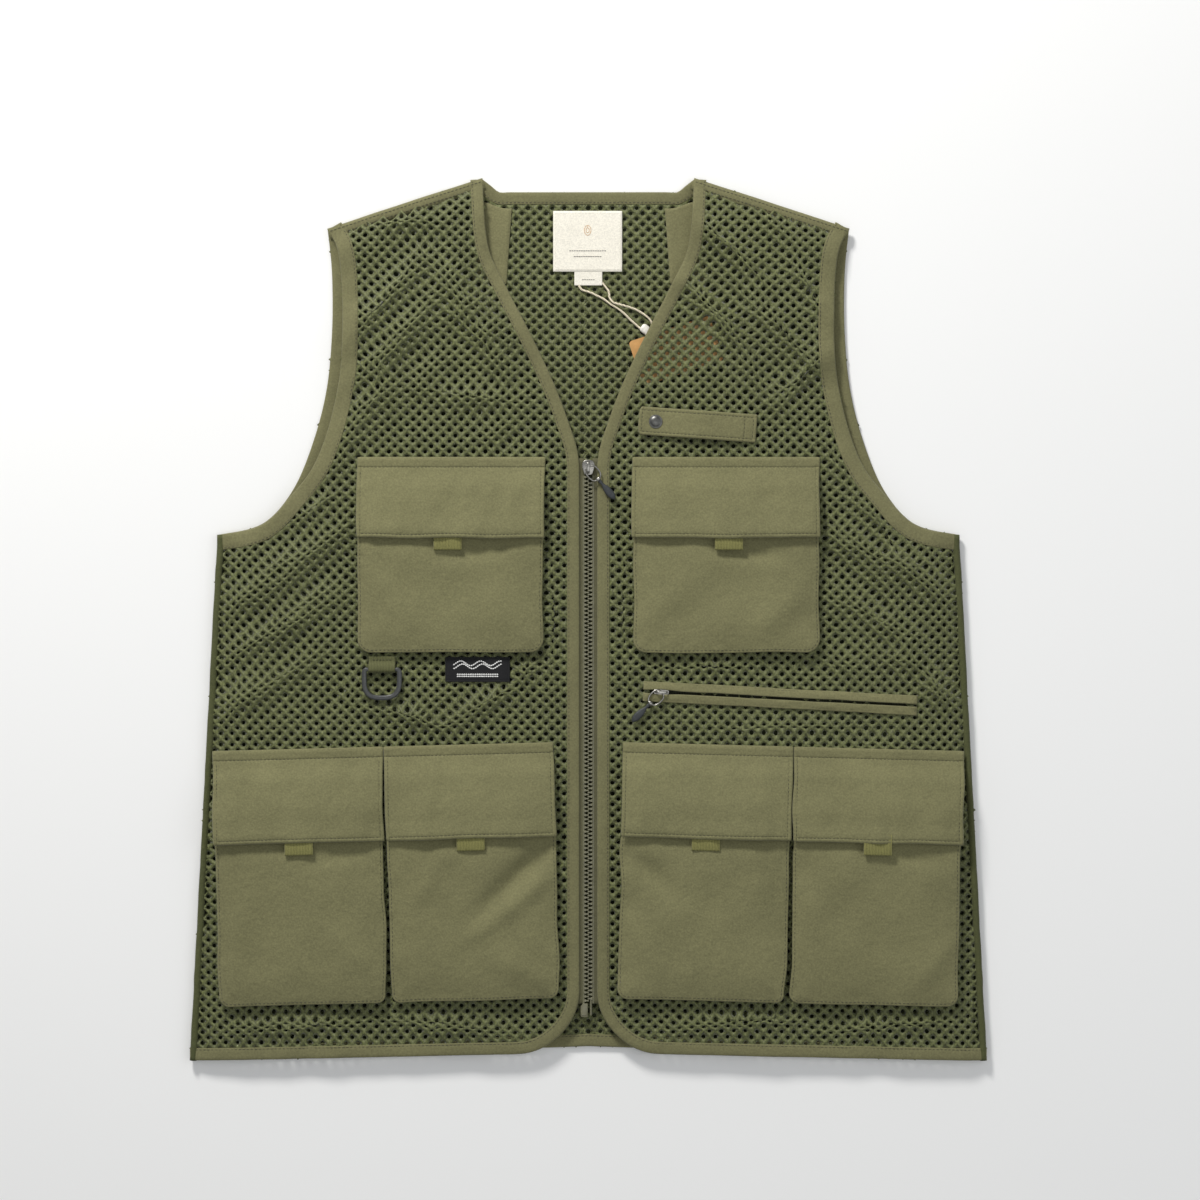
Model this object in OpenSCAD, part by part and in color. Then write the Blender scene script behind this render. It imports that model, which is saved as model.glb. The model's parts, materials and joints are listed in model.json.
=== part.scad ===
// Fishing vest, laid flat on its back panel: +X to the right as seen from above,
// +Y towards the neck, +Z up out of the fronts. All sizes in millimetres.
// "right" and "left" are the wearer's, so the right front has negative X.

/* [Vest] */
// Length from the top of the shoulder to the hem
vest_l = 642; // [600:2:720]
// Width under the arms, laid flat
chest_w = 540; // [500:2:620]
// Width at the hem, laid flat
hem_w = 580; // [540:2:660]
// Width across the shoulder ends
shoulder_w = 380; // [350:2:420]
// Width between the neck points
neck_w = 154; // [140:2:180]
// Drop from the neck point to the shoulder end
shoulder_drop = 37; // [25:1:50]
// Drop from the neck point to the armhole's lowest point
armhole_drop = 259; // [240:1:280]
// Fabric thickness
cloth = 1.2; // [0.8:0.1:1.6]
// Space between the back and the fronts
body_gap = 6; // [5:0.5:12]
// Width of the edge binding
binding_w = 9; // [7:0.5:12]
// Width of the armhole binding
arm_binding_w = 12; // [9:0.5:14]

/* [Chest pockets] */
// Width of a chest pocket
chest_pocket_w = 134; // [110:1:140]
// Length of a chest pocket from the flap's top edge
chest_pocket_l = 141; // [120:1:150]
// Length of a chest flap
chest_flap_l = 58; // [45:1:65]
// Outside depth of a chest pocket
chest_pocket_h = 7.5; // [7:0.5:10]

/* [Lower pockets] */
// Width of a lower pocket
lower_pocket_w = 121; // [100:1:122]
// Length of a lower pocket from the flap's top edge
lower_pocket_l = 185; // [150:1:195]
// Length of a lower flap
lower_flap_l = 67; // [50:1:75]
// Outside depth of a lower pocket
lower_pocket_h = 9.5; // [8:0.5:13]
// Fall of the lower pockets' top edges away from the front opening, in degrees
lower_tilt = 1.5; // [0:0.1:3]

/* [Front zip] */
// Distance between two teeth on one side
tooth_pitch = 3; // [2.5:0.5:4]
// Height of the top of the front zip above the middle of the vest
zip_top_y = 105; // [95:1:112]
// Length of the front zip
zip_l = 384; // [370:1:388]

/* [Zip pocket] */
// Length of the zip pocket's welts
welt_l = 199; // [170:1:205]
// Height of both welts together
welt_w = 14; // [12:1:18]
// Fall of the zip pocket away from the front opening, in degrees
welt_tilt = 3; // [0:0.5:5]

/* [Small parts] */
// Outside width of the D-ring
d_ring_w = 28; // [24:1:34]
// Side of the D-ring's wire
d_ring_t = 2.4; // [2:0.2:3]
// Length of the snap strap
strap_l = 85; // [70:1:95]
// Width of the snap strap
strap_w = 19; // [15:1:22]
// Diameter of the snap's cap
snap_d = 10; // [8:0.5:13]
// Thickness of the tag's string
string_d = 1.6; // [1.2:0.1:2]

/* [Hidden] */
$fn = 48;

// Colours
olive = [0.46, 0.45, 0.30];
mesh_green = [0.33, 0.35, 0.20];
dark_grey = [0.22, 0.22, 0.20];
zip_grey = [0.42, 0.42, 0.33];
metal = [0.62, 0.62, 0.60];

// Heights
front_z = cloth + body_gap;
front_top = front_z + cloth;
trim = 0.8;
clear = 0.3;
swing_gap = 1.2;

// Outline of the vest
top_y = vest_l / 2;
hem_y = -vest_l / 2;
pit_y = top_y - armhole_drop;
pit_x = chest_w / 2;
hem_x = hem_w / 2;
end_x = shoulder_w / 2;
end_y = top_y - shoulder_drop;
neck_x = neck_w / 2;
back_neck_y = top_y - 9;
edge_x = 9;
split_y = 162;
corner_r = 44;

function between(a, b, c, d, t) =
    0.5 * (2 * b + (c - a) * t + (2 * a - 5 * b + 4 * c - d) * t * t
    + (3 * b - a - 3 * c + d) * t * t * t);
function smooth(p, n = 4) = concat(
    [for (i = [0 : len(p) - 2]) for (k = [0 : n - 1])
        between(p[max(i - 1, 0)], p[i], p[i + 1], p[min(i + 2, len(p) - 1)], k / n)],
    [p[len(p) - 1]]);
function reversed(p) = [for (i = [len(p) - 1 : -1 : 0]) p[i]];
function mirrored(p) = [for (i = [len(p) - 1 : -1 : 0]) [-p[i][0], p[i][1]]];
function arc(c, r, a0, a1, n = 8) =
    [for (i = [0 : n]) c + r * [cos(a0 + (a1 - a0) * i / n), sin(a0 + (a1 - a0) * i / n)]];

arm_front = smooth([[end_x, end_y], [end_x - 9, end_y - 22], [end_x - 11, end_y - 84],
    [end_x - 5, end_y - 128], [end_x + 8, end_y - 168], [end_x + 25, end_y - 192],
    [pit_x - 32, pit_y + 7], [pit_x, pit_y]]);
arm_back = smooth([[end_x, end_y], [end_x - 3, end_y - 32], [end_x - 3, end_y - 74],
    [end_x + 1, end_y - 116], [end_x + 11, end_y - 155], [end_x + 26, end_y - 190],
    [pit_x - 32, pit_y + 8], [pit_x, pit_y]]);
v_edge = smooth([[neck_x, top_y], [neck_x - 4, top_y - 48], [neck_x - 17, top_y - 78],
    [42, top_y - 113], [25, top_y - 149], [13, top_y - 182], [edge_x, top_y - 209]]);
back_half = concat([[0, back_neck_y], [neck_x - 12, back_neck_y], [neck_x, top_y]], arm_back,
    [[hem_x, hem_y], [hem_x / 2, hem_y + 5], [0, hem_y + 10]]);
front_half = concat(reversed(v_edge), arm_front, [[hem_x, hem_y], [hem_x / 2, hem_y + 3]],
    arc([edge_x + corner_r, hem_y + 5 + corner_r], corner_r, 270, 180));

module slab(z, t) { translate([0, 0, z]) linear_extrude(t) children(); }
module pair() { children(); mirror([1, 0, 0]) children(); }
// Draws its children on the right (-1) or the left (1) side of the wearer
module side(s) { if (s < 0) mirror([1, 0, 0]) children(); else children(); }
module region(x0, y0, x1, y1) { translate([x0, y0]) square([x1 - x0, y1 - y0]); }
module back_2d() { polygon(concat(back_half, mirrored(back_half))); }
module front_2d() { polygon(front_half); }
module moving_2d() { region(0, hem_y - 1, hem_x + 1, split_y - swing_gap); }
module fixed_2d() { region(0, split_y, hem_x + 1, top_y + 1); }
module rim(w) { difference() { children(); offset(delta = -w) children(); } }
module rounded(w, h, r) { offset(r = r) translate([r, r]) square([w - 2 * r, h - 2 * r]); }

// Fixed pieces: the back, its bindings and the shoulders
module back_panel() { color(mesh_green) slab(0, cloth) back_2d(); }
module neck_binding() {
    color(olive) {
        slab(cloth, trim) intersection() {
            rim(binding_w) back_2d();
            region(-neck_x + 6, top_y - 30, neck_x - 6, top_y + 1);
        }
        pair() slab(front_top, trim) intersection() {
            rim(binding_w) front_2d();
            fixed_2d();
            region(0, split_y, neck_x + 5, top_y - 5);
        }
    }
}
module armhole_bindings() {
    color(olive) pair() {
        slab(cloth, trim) intersection() {
            rim(arm_binding_w) back_2d();
            region(end_x - 30, pit_y - 2, pit_x - 8, end_y - 14);
        }
        slab(front_top, trim) intersection() {
            rim(arm_binding_w) front_2d();
            fixed_2d();
            region(end_x - 30, split_y, pit_x, end_y - 14);
        }
    }
}
module back_hem_binding() {
    color(olive) slab(cloth, trim) intersection() {
        rim(binding_w) back_2d();
        region(-hem_x + 12, hem_y - 1, hem_x - 12, hem_y + 20);
    }
}
module side_seams() {
    color(olive) pair() slab(cloth, body_gap - clear)
        polygon([[pit_x - 8, pit_y - 2], [pit_x - 1, pit_y - 2], [hem_x - 1, hem_y + 2],
            [hem_x - 8, hem_y + 2]]);
}
module shoulder_seams() {
    color(olive) pair() slab(cloth, body_gap)
        polygon([[neck_x + 1, top_y - 2], [end_x - 1, end_y - 1], [end_x - 3, end_y - 9],
            [neck_x + 1, top_y - 10]]);
}
module front_yokes() {
    color(mesh_green) pair() slab(front_z, cloth) intersection() {
        front_2d();
        fixed_2d();
    }
}
module shoulder_facings() {
    color(olive) pair() slab(cloth, trim)
        polygon([[56, back_neck_y - 12], [neck_x, top_y - 18], [end_x - 14, end_y - 18],
            [end_x - 18, end_y - 34], [60, top_y - 74]]);
}

// Labels, and the hang tag on its string
neck_label_c = [-0.5, 276];
size_label_c = [0, 250];
module neck_label() {
    color("white") slab(cloth, 0.5) translate(neck_label_c) square([50, 44], center = true);
}
module size_label() {
    color("white") slab(cloth, 0.4) translate(size_label_c + [0, -1]) square([20, 10],
        center = true);
}
string_z = cloth + string_d / 2 + 0.2;
string_route = [[-9, 243, string_z], [-5, 241, string_z], [-1, 239.5, string_z],
    [3, 238, string_z], [7, 236, string_z], [11, 234, string_z], [15, 231, string_z],
    [19, 228.5, string_z], [23, 226, string_z], [27, 222.5, string_z],
    [31, 218.5, string_z], [36, 214, string_z], [41, 209.5, string_z],
    [44.5, 207, string_z + 0.3], [47.5, 208.5, string_z + 0.3], [48, 212, string_z],
    [46.5, 216, string_z], [44, 220, string_z], [40, 223, string_z + 0.2],
    [36, 225.5, string_z + 0.4], [31, 227.5, string_z + 1], [26, 229, string_z + 1.6],
    [22, 230, string_z + 1.6], [18, 231.5, string_z + 1.2], [15.5, 235, string_z + 0.4],
    [15, 239, string_z], [13, 243, string_z]];
string_sides = 8;
module string() {
    last = len(string_route) - 1;
    rings = [for (i = [0 : last])
        let (d = string_route[min(i + 1, last)] - string_route[max(i - 1, 0)],
            f = d / norm(d),
            u = [-f[1], f[0], 0] / norm([f[0], f[1]]),
            v = cross(f, u))
        for (k = [0 : string_sides - 1])
            string_route[i] + string_d / 2
            * (u * cos(360 * k / string_sides) + v * sin(360 * k / string_sides))];
    sides = [for (i = [0 : last - 1]) for (k = [0 : string_sides - 1])
        let (k2 = (k + 1) % string_sides, a = i * string_sides, b = a + string_sides)
        for (t = [0, 1]) t == 0 ? [a + k2, a + k, b + k] : [a + k2, b + k, b + k2]];
    near_cap = [for (k = [0 : string_sides - 1]) k];
    far_cap = [for (k = [string_sides - 1 : -1 : 0]) last * string_sides + k];
    color("beige") polyhedron(rings, concat(sides, [near_cap, far_cap]));
}
module seal() {
    color("white") translate([43, 210.5, cloth + 0.1]) rotate(-50)
        translate([-5.5, -3.5]) slab(0, 4) rounded(11, 7, 2);
}
module hang_tag() {
    color("sandybrown") translate([64, 196, cloth + 4.6]) rotate(18) slab(0, 0.5)
        difference() {
            square([62, 34], center = true);
            translate([-26, 0]) circle(2);
        }
}

// Front pieces, drawn on the left side and mirrored for the right
zip_axis_z = front_z - 0.3;
module front_panel(slot) {
    color(mesh_green) slab(front_z, cloth) difference() {
        intersection() {
            front_2d();
            moving_2d();
        }
        if (slot) welt_place() square([welt_l - 12, 6.8], center = true);
    }
}
module edge_binding() {
    color(olive) slab(front_top, trim) intersection() {
        rim(binding_w) front_2d();
        moving_2d();
        union() {
            region(0, hem_y - 1, 90, split_y);
            region(0, hem_y - 1, hem_x + 1, hem_y + 20);
        }
    }
}
module armhole_binding() {
    color(olive) slab(front_top, trim) intersection() {
        rim(arm_binding_w) front_2d();
        moving_2d();
        region(end_x - 30, pit_y - 13, pit_x - 4, split_y);
    }
}
tape_w = 13;
module zip_tape() {
    color(olive) slab(front_z - 0.6, 0.6) translate([3, zip_top_y - zip_l])
        square([tape_w, zip_l]);
}
box_l = 10;
box_y = zip_top_y - zip_l;
module zip_teeth() {
    color(zip_grey) slab(zip_axis_z - 1, 2) {
        translate([2.4, zip_top_y - zip_l]) square([0.6, zip_l]);
        for (y = [0 : tooth_pitch : zip_l - 12])
            translate([0.6, zip_top_y - y - 1.5]) square([2, 1.5]);
    }
}
module zip_box() {
    color(zip_grey) slab(zip_axis_z - 1.6, 3.2) translate([-5.6, box_y - box_l])
        rounded(5.2, box_l, 1);
}
// The left chain, with the pin that goes into the box
module zip_teeth_pin() {
    zip_teeth();
    color(zip_grey) slab(zip_axis_z - 0.8, 1.6) translate([0.6, box_y - box_l + 1])
        square([2.4, box_l - 1]);
}

// A zip slider over a chain that runs along Y, its middle at the origin
module slider(w, l) {
    bridge_l = l - 2.4;
    post = 0.8;
    for (z = [half_gap, -half_gap - plate])
        slab(z, plate) translate([-w / 2, -l / 2]) rounded(w, l, 1.4);
    translate([-0.3, 2, -half_gap]) cube([0.6, 2, 2 * half_gap]);
    for (y = [-bridge_l / 2, bridge_l / 2 - post])
        translate([-post, y, half_gap + plate]) cube([2 * post, post, tunnel_h]);
    translate([-post, -bridge_l / 2, half_gap + plate + tunnel_h])
        cube([2 * post, bridge_l, 1]);
}
// Thickness of a slider's plates, and half the gap between them
plate = 1.1;
half_gap = 1.3;
tunnel_h = 3;
slider_l = 11;
wire = 1.2;
// Height of the pull ring's bar above the chain's middle, at the top of the slider's tunnel
ring_z = half_gap + plate + tunnel_h - wire / 2 * sqrt(2) - clear;
ring_l = 12.5;
ring_w = 10.6;
// A pull ring that hangs along +X from a bar at the origin
module pull_ring() {
    slab(-wire / 2, wire) translate([-wire / 2, -ring_w / 2]) difference() {
        rounded(ring_l, ring_w, 2.4);
        translate([wire, wire]) rounded(ring_l - 2 * wire, ring_w - 2 * wire, 1.4);
    }
}
tab_at = ring_l - wire;
// A tab folded round the far bar of the pull ring
module pull_tab(l) {
    w = 4.6;
    eye = wire / 2 * sqrt(2) + clear;
    outer = eye + 0.45;
    half = 0.7;
    translate([tab_at, w / 2, 0]) rotate([90, 0, 0]) linear_extrude(w) difference() {
        union() {
            circle(outer);
            polygon([[0, -outer], [outer + 4.5, -half], [l, -half], [l, half],
                [outer + 4.5, half], [0, outer]]);
        }
        circle(eye);
    }
}

// Places of the moving zip parts
slider_y = zip_top_y + slider_l / 2 + 0.4;
front_pull_a = -50;
module front_slider_place() { translate([0, slider_y, zip_axis_z]) children(); }
module front_pull_place() {
    front_slider_place() translate([0, 0, ring_z]) rotate(front_pull_a) children();
}
pull_tab_l = 19;
module zip_slider() { color(metal) front_slider_place() slider(9, slider_l); }
module zip_pull_ring() { color(metal) front_pull_place() pull_ring(); }
module zip_pull_tab() { color(dark_grey) front_pull_place() pull_tab(pull_tab_l); }

// Zip pocket on the left front
welt_c = [139.5, -57];
pocket_slider_x = -welt_l / 2 + 13;
module welt_place() { translate(welt_c) rotate(-welt_tilt) children(); }
module welts() {
    color(olive) slab(front_top, trim) welt_place() difference() {
        square([welt_l, welt_w], center = true);
        square([welt_l - 8, 6.8], center = true);
    }
}
module pocket_zip() {
    chain_l = welt_l - 14;
    color(dark_grey) welt_place() for (m = [0, 1]) mirror([0, m, 0]) {
        translate([-chain_l / 2, 0.5, zip_axis_z - 0.8]) cube([chain_l, 1.6, 1.6]);
        translate([-chain_l / 2, 2.1, front_z - 0.6]) cube([chain_l, 5, 0.6]);
    }
}
bag_l = 150;
module pocket_bag() {
    color(mesh_green) welt_place() translate([-welt_l / 2 + 4, -bag_l + 9]) {
        slab(cloth + 1.2, 0.6) square([welt_l - 8, bag_l]);
        slab(cloth + 1.8, body_gap - 1.8) difference() {
            square([welt_l - 8, bag_l]);
            translate([0.8, 0.8]) square([welt_l - 9.6, bag_l - 1.6]);
        }
    }
}
pocket_pull_a = -135 + welt_tilt;
module pocket_slider_place() {
    welt_place() translate([pocket_slider_x, 0, zip_axis_z]) children();
}
module pocket_pull_place() {
    pocket_slider_place() translate([0, 0, ring_z]) rotate(pocket_pull_a) children();
}
module pocket_slider() { color(metal) pocket_slider_place() rotate(90) slider(6, slider_l); }
module pocket_pull_ring() { color(metal) pocket_pull_place() pull_ring(); }
module pocket_pull_tab() { color(dark_grey) pocket_pull_place() pull_tab(pull_tab_l); }

// A flapped pocket, its flap's top edge on the X axis and its middle at the origin
hinge_in = 6.5;
mouth_in = 20;
strip_w = 18;
module pouch(w, l, h) {
    color(olive) translate([0, 0, front_top]) {
        difference() {
            slab(0, h) translate([-w / 2, -l]) pouch_2d(w, l - mouth_in, 12);
            slab(-1, h) translate([-w / 2 + 1, -l + 1]) pouch_2d(w - 2, l - mouth_in + 9, 11);
        }
        translate([-w / 2, -hinge_in - 2.5, 0]) cube([w, hinge_in + 2.5, 0.5]);
    }
}
module pouch_2d(w, l, r) {
    rounded(w, l, r);
    translate([0, l / 2]) square([w, l / 2]);
}
module loop_strip(w, l, h) {
    color(dark_grey) translate([-w * 0.35, -l + 6, front_top + h]) cube([w * 0.7, strip_w, 0.7]);
}
// The flap, with its hook strip underneath
module flap(w, l, h) {
    low = front_top + 0.5 + clear;
    high = front_top + h + 0.7 + clear + 0.7;
    color(olive) translate([w / 2 + 0.5, 0, 0]) rotate([90, 0, -90]) linear_extrude(w + 1)
        polygon([[hinge_in, low], [hinge_in + 1.5, low], [mouth_in - 4, high],
            [l, high], [l, high + cloth], [mouth_in - 5, high + cloth],
            [hinge_in + 0.5, low + cloth], [hinge_in, low + cloth]]);
    color(dark_grey) translate([-w * 0.35, -l + 6, high - 0.7]) cube([w * 0.7, strip_w, 0.7]);
}
module flap_tab(x, l, h) {
    color(dark_grey) translate([x - 10, -l - 9, front_top + h + 1.7]) cube([20, 9, cloth]);
}
chest_x = 100;
chest_y = 118;
lower_c = [87, -91];
lower_step = lower_pocket_w + 3.5;
module chest_place() { translate([chest_x, chest_y, 0]) children(); }
module lower_place(i) {
    translate(lower_c) rotate(-lower_tilt) translate([i * lower_step, 0]) children();
}
module chest_pouch() { chest_place() pouch(chest_pocket_w, chest_pocket_l, chest_pocket_h); }
module chest_flap() { chest_place() flap(chest_pocket_w, chest_flap_l, chest_pocket_h); }
module chest_tab() { chest_place() flap_tab(2, chest_flap_l, chest_pocket_h); }
module lower_pouch(i) { lower_place(i) pouch(lower_pocket_w, lower_pocket_l, lower_pocket_h); }
module lower_flap(i) { lower_place(i) flap(lower_pocket_w, lower_flap_l, lower_pocket_h); }
module lower_tab(i) { lower_place(i) flap_tab(0, lower_flap_l, lower_pocket_h); }
module loop_strips() {
    chest_place() loop_strip(chest_pocket_w, chest_flap_l, chest_pocket_h);
    for (i = [0, 1]) lower_place(i) loop_strip(lower_pocket_w, lower_flap_l, lower_pocket_h);
}

// D-ring in its webbing loop, and the woven patch, on the right front
d_ring_c = [-150, -36];
loop_eye = d_ring_t / 2 * sqrt(2) + clear;
loop_skin = 0.8;
ring_bar_z = front_top + loop_eye + loop_skin;
module patch_label() {
    color("black") slab(front_top, 0.6) translate([-80.5, -36]) square([47, 18], center = true);
}
module webbing_loop() {
    color(olive) translate([d_ring_c[0] - 9.5, d_ring_c[1], ring_bar_z]) rotate([90, 0, 90])
        linear_extrude(19) difference() {
            union() {
                square(2 * (loop_eye + loop_skin), center = true);
                translate([0, -loop_eye - loop_skin]) square([9, 2 * loop_skin]);
            }
            square(2 * loop_eye, center = true);
        }
}
module d_shape(w, h) {
    translate([-w / 2, -h + w / 2]) square([w, h - w / 2]);
    intersection() {
        translate([0, -h + w / 2]) circle(w / 2);
        translate([-w / 2, -h]) square([w, w / 2]);
    }
}
module d_ring() {
    h = 23;
    color(dark_grey) translate([d_ring_c[0], d_ring_c[1] + d_ring_t / 2, ring_bar_z - d_ring_t / 2])
        linear_extrude(d_ring_t) difference() {
            d_shape(d_ring_w, h);
            translate([0, -d_ring_t]) d_shape(d_ring_w - 2 * d_ring_t, h - 2 * d_ring_t);
        }
}

// Snap strap on the left front: sewn down at its outer end, snapped at its inner end
strap_c = [37, 145];
strap_z = front_top + 1.4;
snap_at = [12, 0];
strap_tilt = -4;
sewn_l = 9;
module strap_place() { translate([strap_c[0], strap_c[1], 0]) rotate(strap_tilt) children(); }
module snap_strap() {
    color(olive) strap_place() difference() {
        slab(strap_z, cloth) translate([0, -strap_w / 2]) square([strap_l - sewn_l, strap_w]);
        translate([snap_at[0], 0, strap_z - 1]) cylinder(r = 2, h = 4);
    }
}
module strap_base() {
    fold = 1.4;
    color(olive) strap_place() translate([strap_l - sewn_l + fold, -strap_w / 2])
        slab(front_top, strap_z + cloth - front_top) square([sewn_l - fold, strap_w]);
}
module snap_cap() {
    color(metal) strap_place() translate([snap_at[0], 0, 0]) {
        translate([0, 0, strap_z]) cylinder(r = 1.9, h = cloth);
        translate([0, 0, strap_z + cloth]) cylinder(r = snap_d / 2, h = 1.4);
    }
}
module snap_stud() {
    color(metal) strap_place() {
        translate([snap_at[0], 0, front_top]) cylinder(r = 4, h = 0.5);
        translate([snap_at[0], 0, front_top + 0.5]) cylinder(r = 1.6, h = 0.5);
    }
}

back_panel();
neck_binding();
armhole_bindings();
back_hem_binding();
side_seams();
shoulder_seams();
front_yokes();
shoulder_facings();
neck_label();
size_label();
string();
seal();
hang_tag();
side(-1) front_panel(false);  // front_panel_right
side(-1) edge_binding();  // edge_binding_right
side(-1) armhole_binding();  // armhole_binding_right
side(-1) zip_tape();  // zip_tape_right
side(-1) zip_teeth();  // zip_teeth_right
zip_box();
side(-1) chest_pouch();  // chest_pocket_right
side(-1) lower_pouch(0);  // inner_pocket_right
side(-1) lower_pouch(1);  // outer_pocket_right
side(-1) loop_strips();  // loop_strips_right
patch_label();
webbing_loop();
d_ring();
side(-1) chest_flap();  // chest_flap_right
side(-1) lower_flap(0);  // inner_flap_right
side(-1) lower_flap(1);  // outer_flap_right
side(-1) chest_tab();  // chest_tab_right
side(-1) lower_tab(0);  // inner_tab_right
side(-1) lower_tab(1);  // outer_tab_right
side(1) front_panel(true);  // front_panel_left
side(1) edge_binding();  // edge_binding_left
side(1) armhole_binding();  // armhole_binding_left
side(1) zip_tape();  // zip_tape_left
zip_teeth_pin();  // zip_teeth_left
side(1) chest_pouch();  // chest_pocket_left
side(1) lower_pouch(0);  // inner_pocket_left
side(1) lower_pouch(1);  // outer_pocket_left
side(1) loop_strips();  // loop_strips_left
side(1) chest_flap();  // chest_flap_left
side(1) lower_flap(0);  // inner_flap_left
side(1) lower_flap(1);  // outer_flap_left
side(1) chest_tab();  // chest_tab_left
side(1) lower_tab(0);  // inner_tab_left
side(1) lower_tab(1);  // outer_tab_left
zip_slider();
zip_pull_ring();
zip_pull_tab();
welts();
pocket_zip();
pocket_bag();
pocket_slider();
pocket_pull_ring();
pocket_pull_tab();
strap_base();
snap_strap();
snap_cap();
snap_stud();
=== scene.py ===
"""A mesh fishing vest laid flat on its back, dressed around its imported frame.

Lengths in the making of a mesh are millimetres; a piece is scaled to metres as it is made.
"""
import json
import math

import bmesh
import bpy
import numpy as np
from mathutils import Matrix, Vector
from mathutils.bvhtree import BVHTree


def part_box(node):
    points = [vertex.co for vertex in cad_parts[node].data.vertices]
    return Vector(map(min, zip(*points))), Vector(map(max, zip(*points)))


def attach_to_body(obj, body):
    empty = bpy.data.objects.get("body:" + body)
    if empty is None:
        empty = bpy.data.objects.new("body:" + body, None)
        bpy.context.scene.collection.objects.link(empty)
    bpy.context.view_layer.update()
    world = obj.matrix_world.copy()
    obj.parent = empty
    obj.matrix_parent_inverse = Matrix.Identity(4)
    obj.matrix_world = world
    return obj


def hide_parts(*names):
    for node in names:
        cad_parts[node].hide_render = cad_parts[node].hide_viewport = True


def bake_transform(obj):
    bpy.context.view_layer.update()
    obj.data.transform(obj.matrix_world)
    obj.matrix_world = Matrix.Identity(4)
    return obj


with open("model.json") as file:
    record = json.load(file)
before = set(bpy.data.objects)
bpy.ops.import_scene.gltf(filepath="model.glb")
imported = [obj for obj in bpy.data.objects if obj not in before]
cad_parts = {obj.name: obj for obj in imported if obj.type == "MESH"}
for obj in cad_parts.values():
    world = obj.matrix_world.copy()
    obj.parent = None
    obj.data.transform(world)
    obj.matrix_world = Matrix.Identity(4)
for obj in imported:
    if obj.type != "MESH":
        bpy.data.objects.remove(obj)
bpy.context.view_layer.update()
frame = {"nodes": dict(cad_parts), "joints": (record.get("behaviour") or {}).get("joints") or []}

MM = 0.001
SIDES = {"right": -1, "left": 1}
JOINTS = {j["name"]: j for j in frame["joints"]}

# ---------------------------------------------------------------- camera, lights and floor


def low_high(node):
    """A CAD node's lowest and highest corner, in millimetres."""
    low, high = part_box(node)
    return np.array(low) / MM, np.array(high) / MM


def middle(node):
    low, high = low_high(node)
    return (low + high) / 2


def pivot(joint):
    return np.array(JOINTS[joint]["pos_m"]) / MM


def add_camera():
    camera = bpy.data.cameras.new("camera")
    camera.lens_unit = "FOV"
    view_w, height = 0.876, 2.3
    camera.angle = 2 * math.atan(view_w / 2 / height)
    camera.clip_start = 0.02
    o = bpy.data.objects.new("camera", camera)
    o.location = (0.0085, 0.0145, height)
    bpy.context.scene.collection.objects.link(o)
    bpy.context.scene.camera = o


def add_light(name, place, aim, size, power, colour=(1, 1, 1)):
    lamp = bpy.data.lights.new(name, "AREA")
    lamp.shape = "DISK"
    lamp.size = size
    lamp.energy = power
    lamp.color = colour
    o = bpy.data.objects.new(name, lamp)
    o.location = place
    o.rotation_euler = (Vector(aim) - Vector(place)).to_track_quat("-Z", "Y").to_euler()
    bpy.context.scene.collection.objects.link(o)


def add_studio():
    add_light("key", (-0.75, 1.8, 1.1), (0, 0, 0), 0.5, 50, (1, 0.985, 0.96))
    add_light("fill", (1.6, 0.2, 1.6), (0, 0, 0), 1.6, 7, (0.95, 0.98, 1))
    add_light("top", (0.1, -0.3, 2.6), (0, 0, 0), 1.6, 9)
    world = bpy.data.worlds.new("studio")
    world.use_nodes = True
    world.node_tree.nodes["Background"].inputs["Color"].default_value = (0.95, 0.97, 1, 1)
    world.node_tree.nodes["Background"].inputs["Strength"].default_value = 0.36
    bpy.context.scene.world = world
    mesh = bpy.data.meshes.new("floor")
    r = 4.0
    mesh.from_pydata([(-r, -r, 0), (r, -r, 0), (r, r, 0), (-r, r, 0)], [], [(0, 1, 2, 3)])
    floor = bpy.data.objects.new("floor", mesh)
    floor.location.z = -0.0004
    bpy.context.scene.collection.objects.link(floor)
    paper = bpy.data.materials.new("floor_paper")
    paper.use_nodes = True
    shader = paper.node_tree.nodes["Principled BSDF"]
    shader.inputs["Base Color"].default_value = (0.86, 0.86, 0.85, 1)
    shader.inputs["Roughness"].default_value = 0.9
    mesh.materials.append(paper)
    bpy.context.scene.view_settings.view_transform = "Standard"


add_camera()
add_studio()

# ---------------------------------------------------------------- materials


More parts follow.
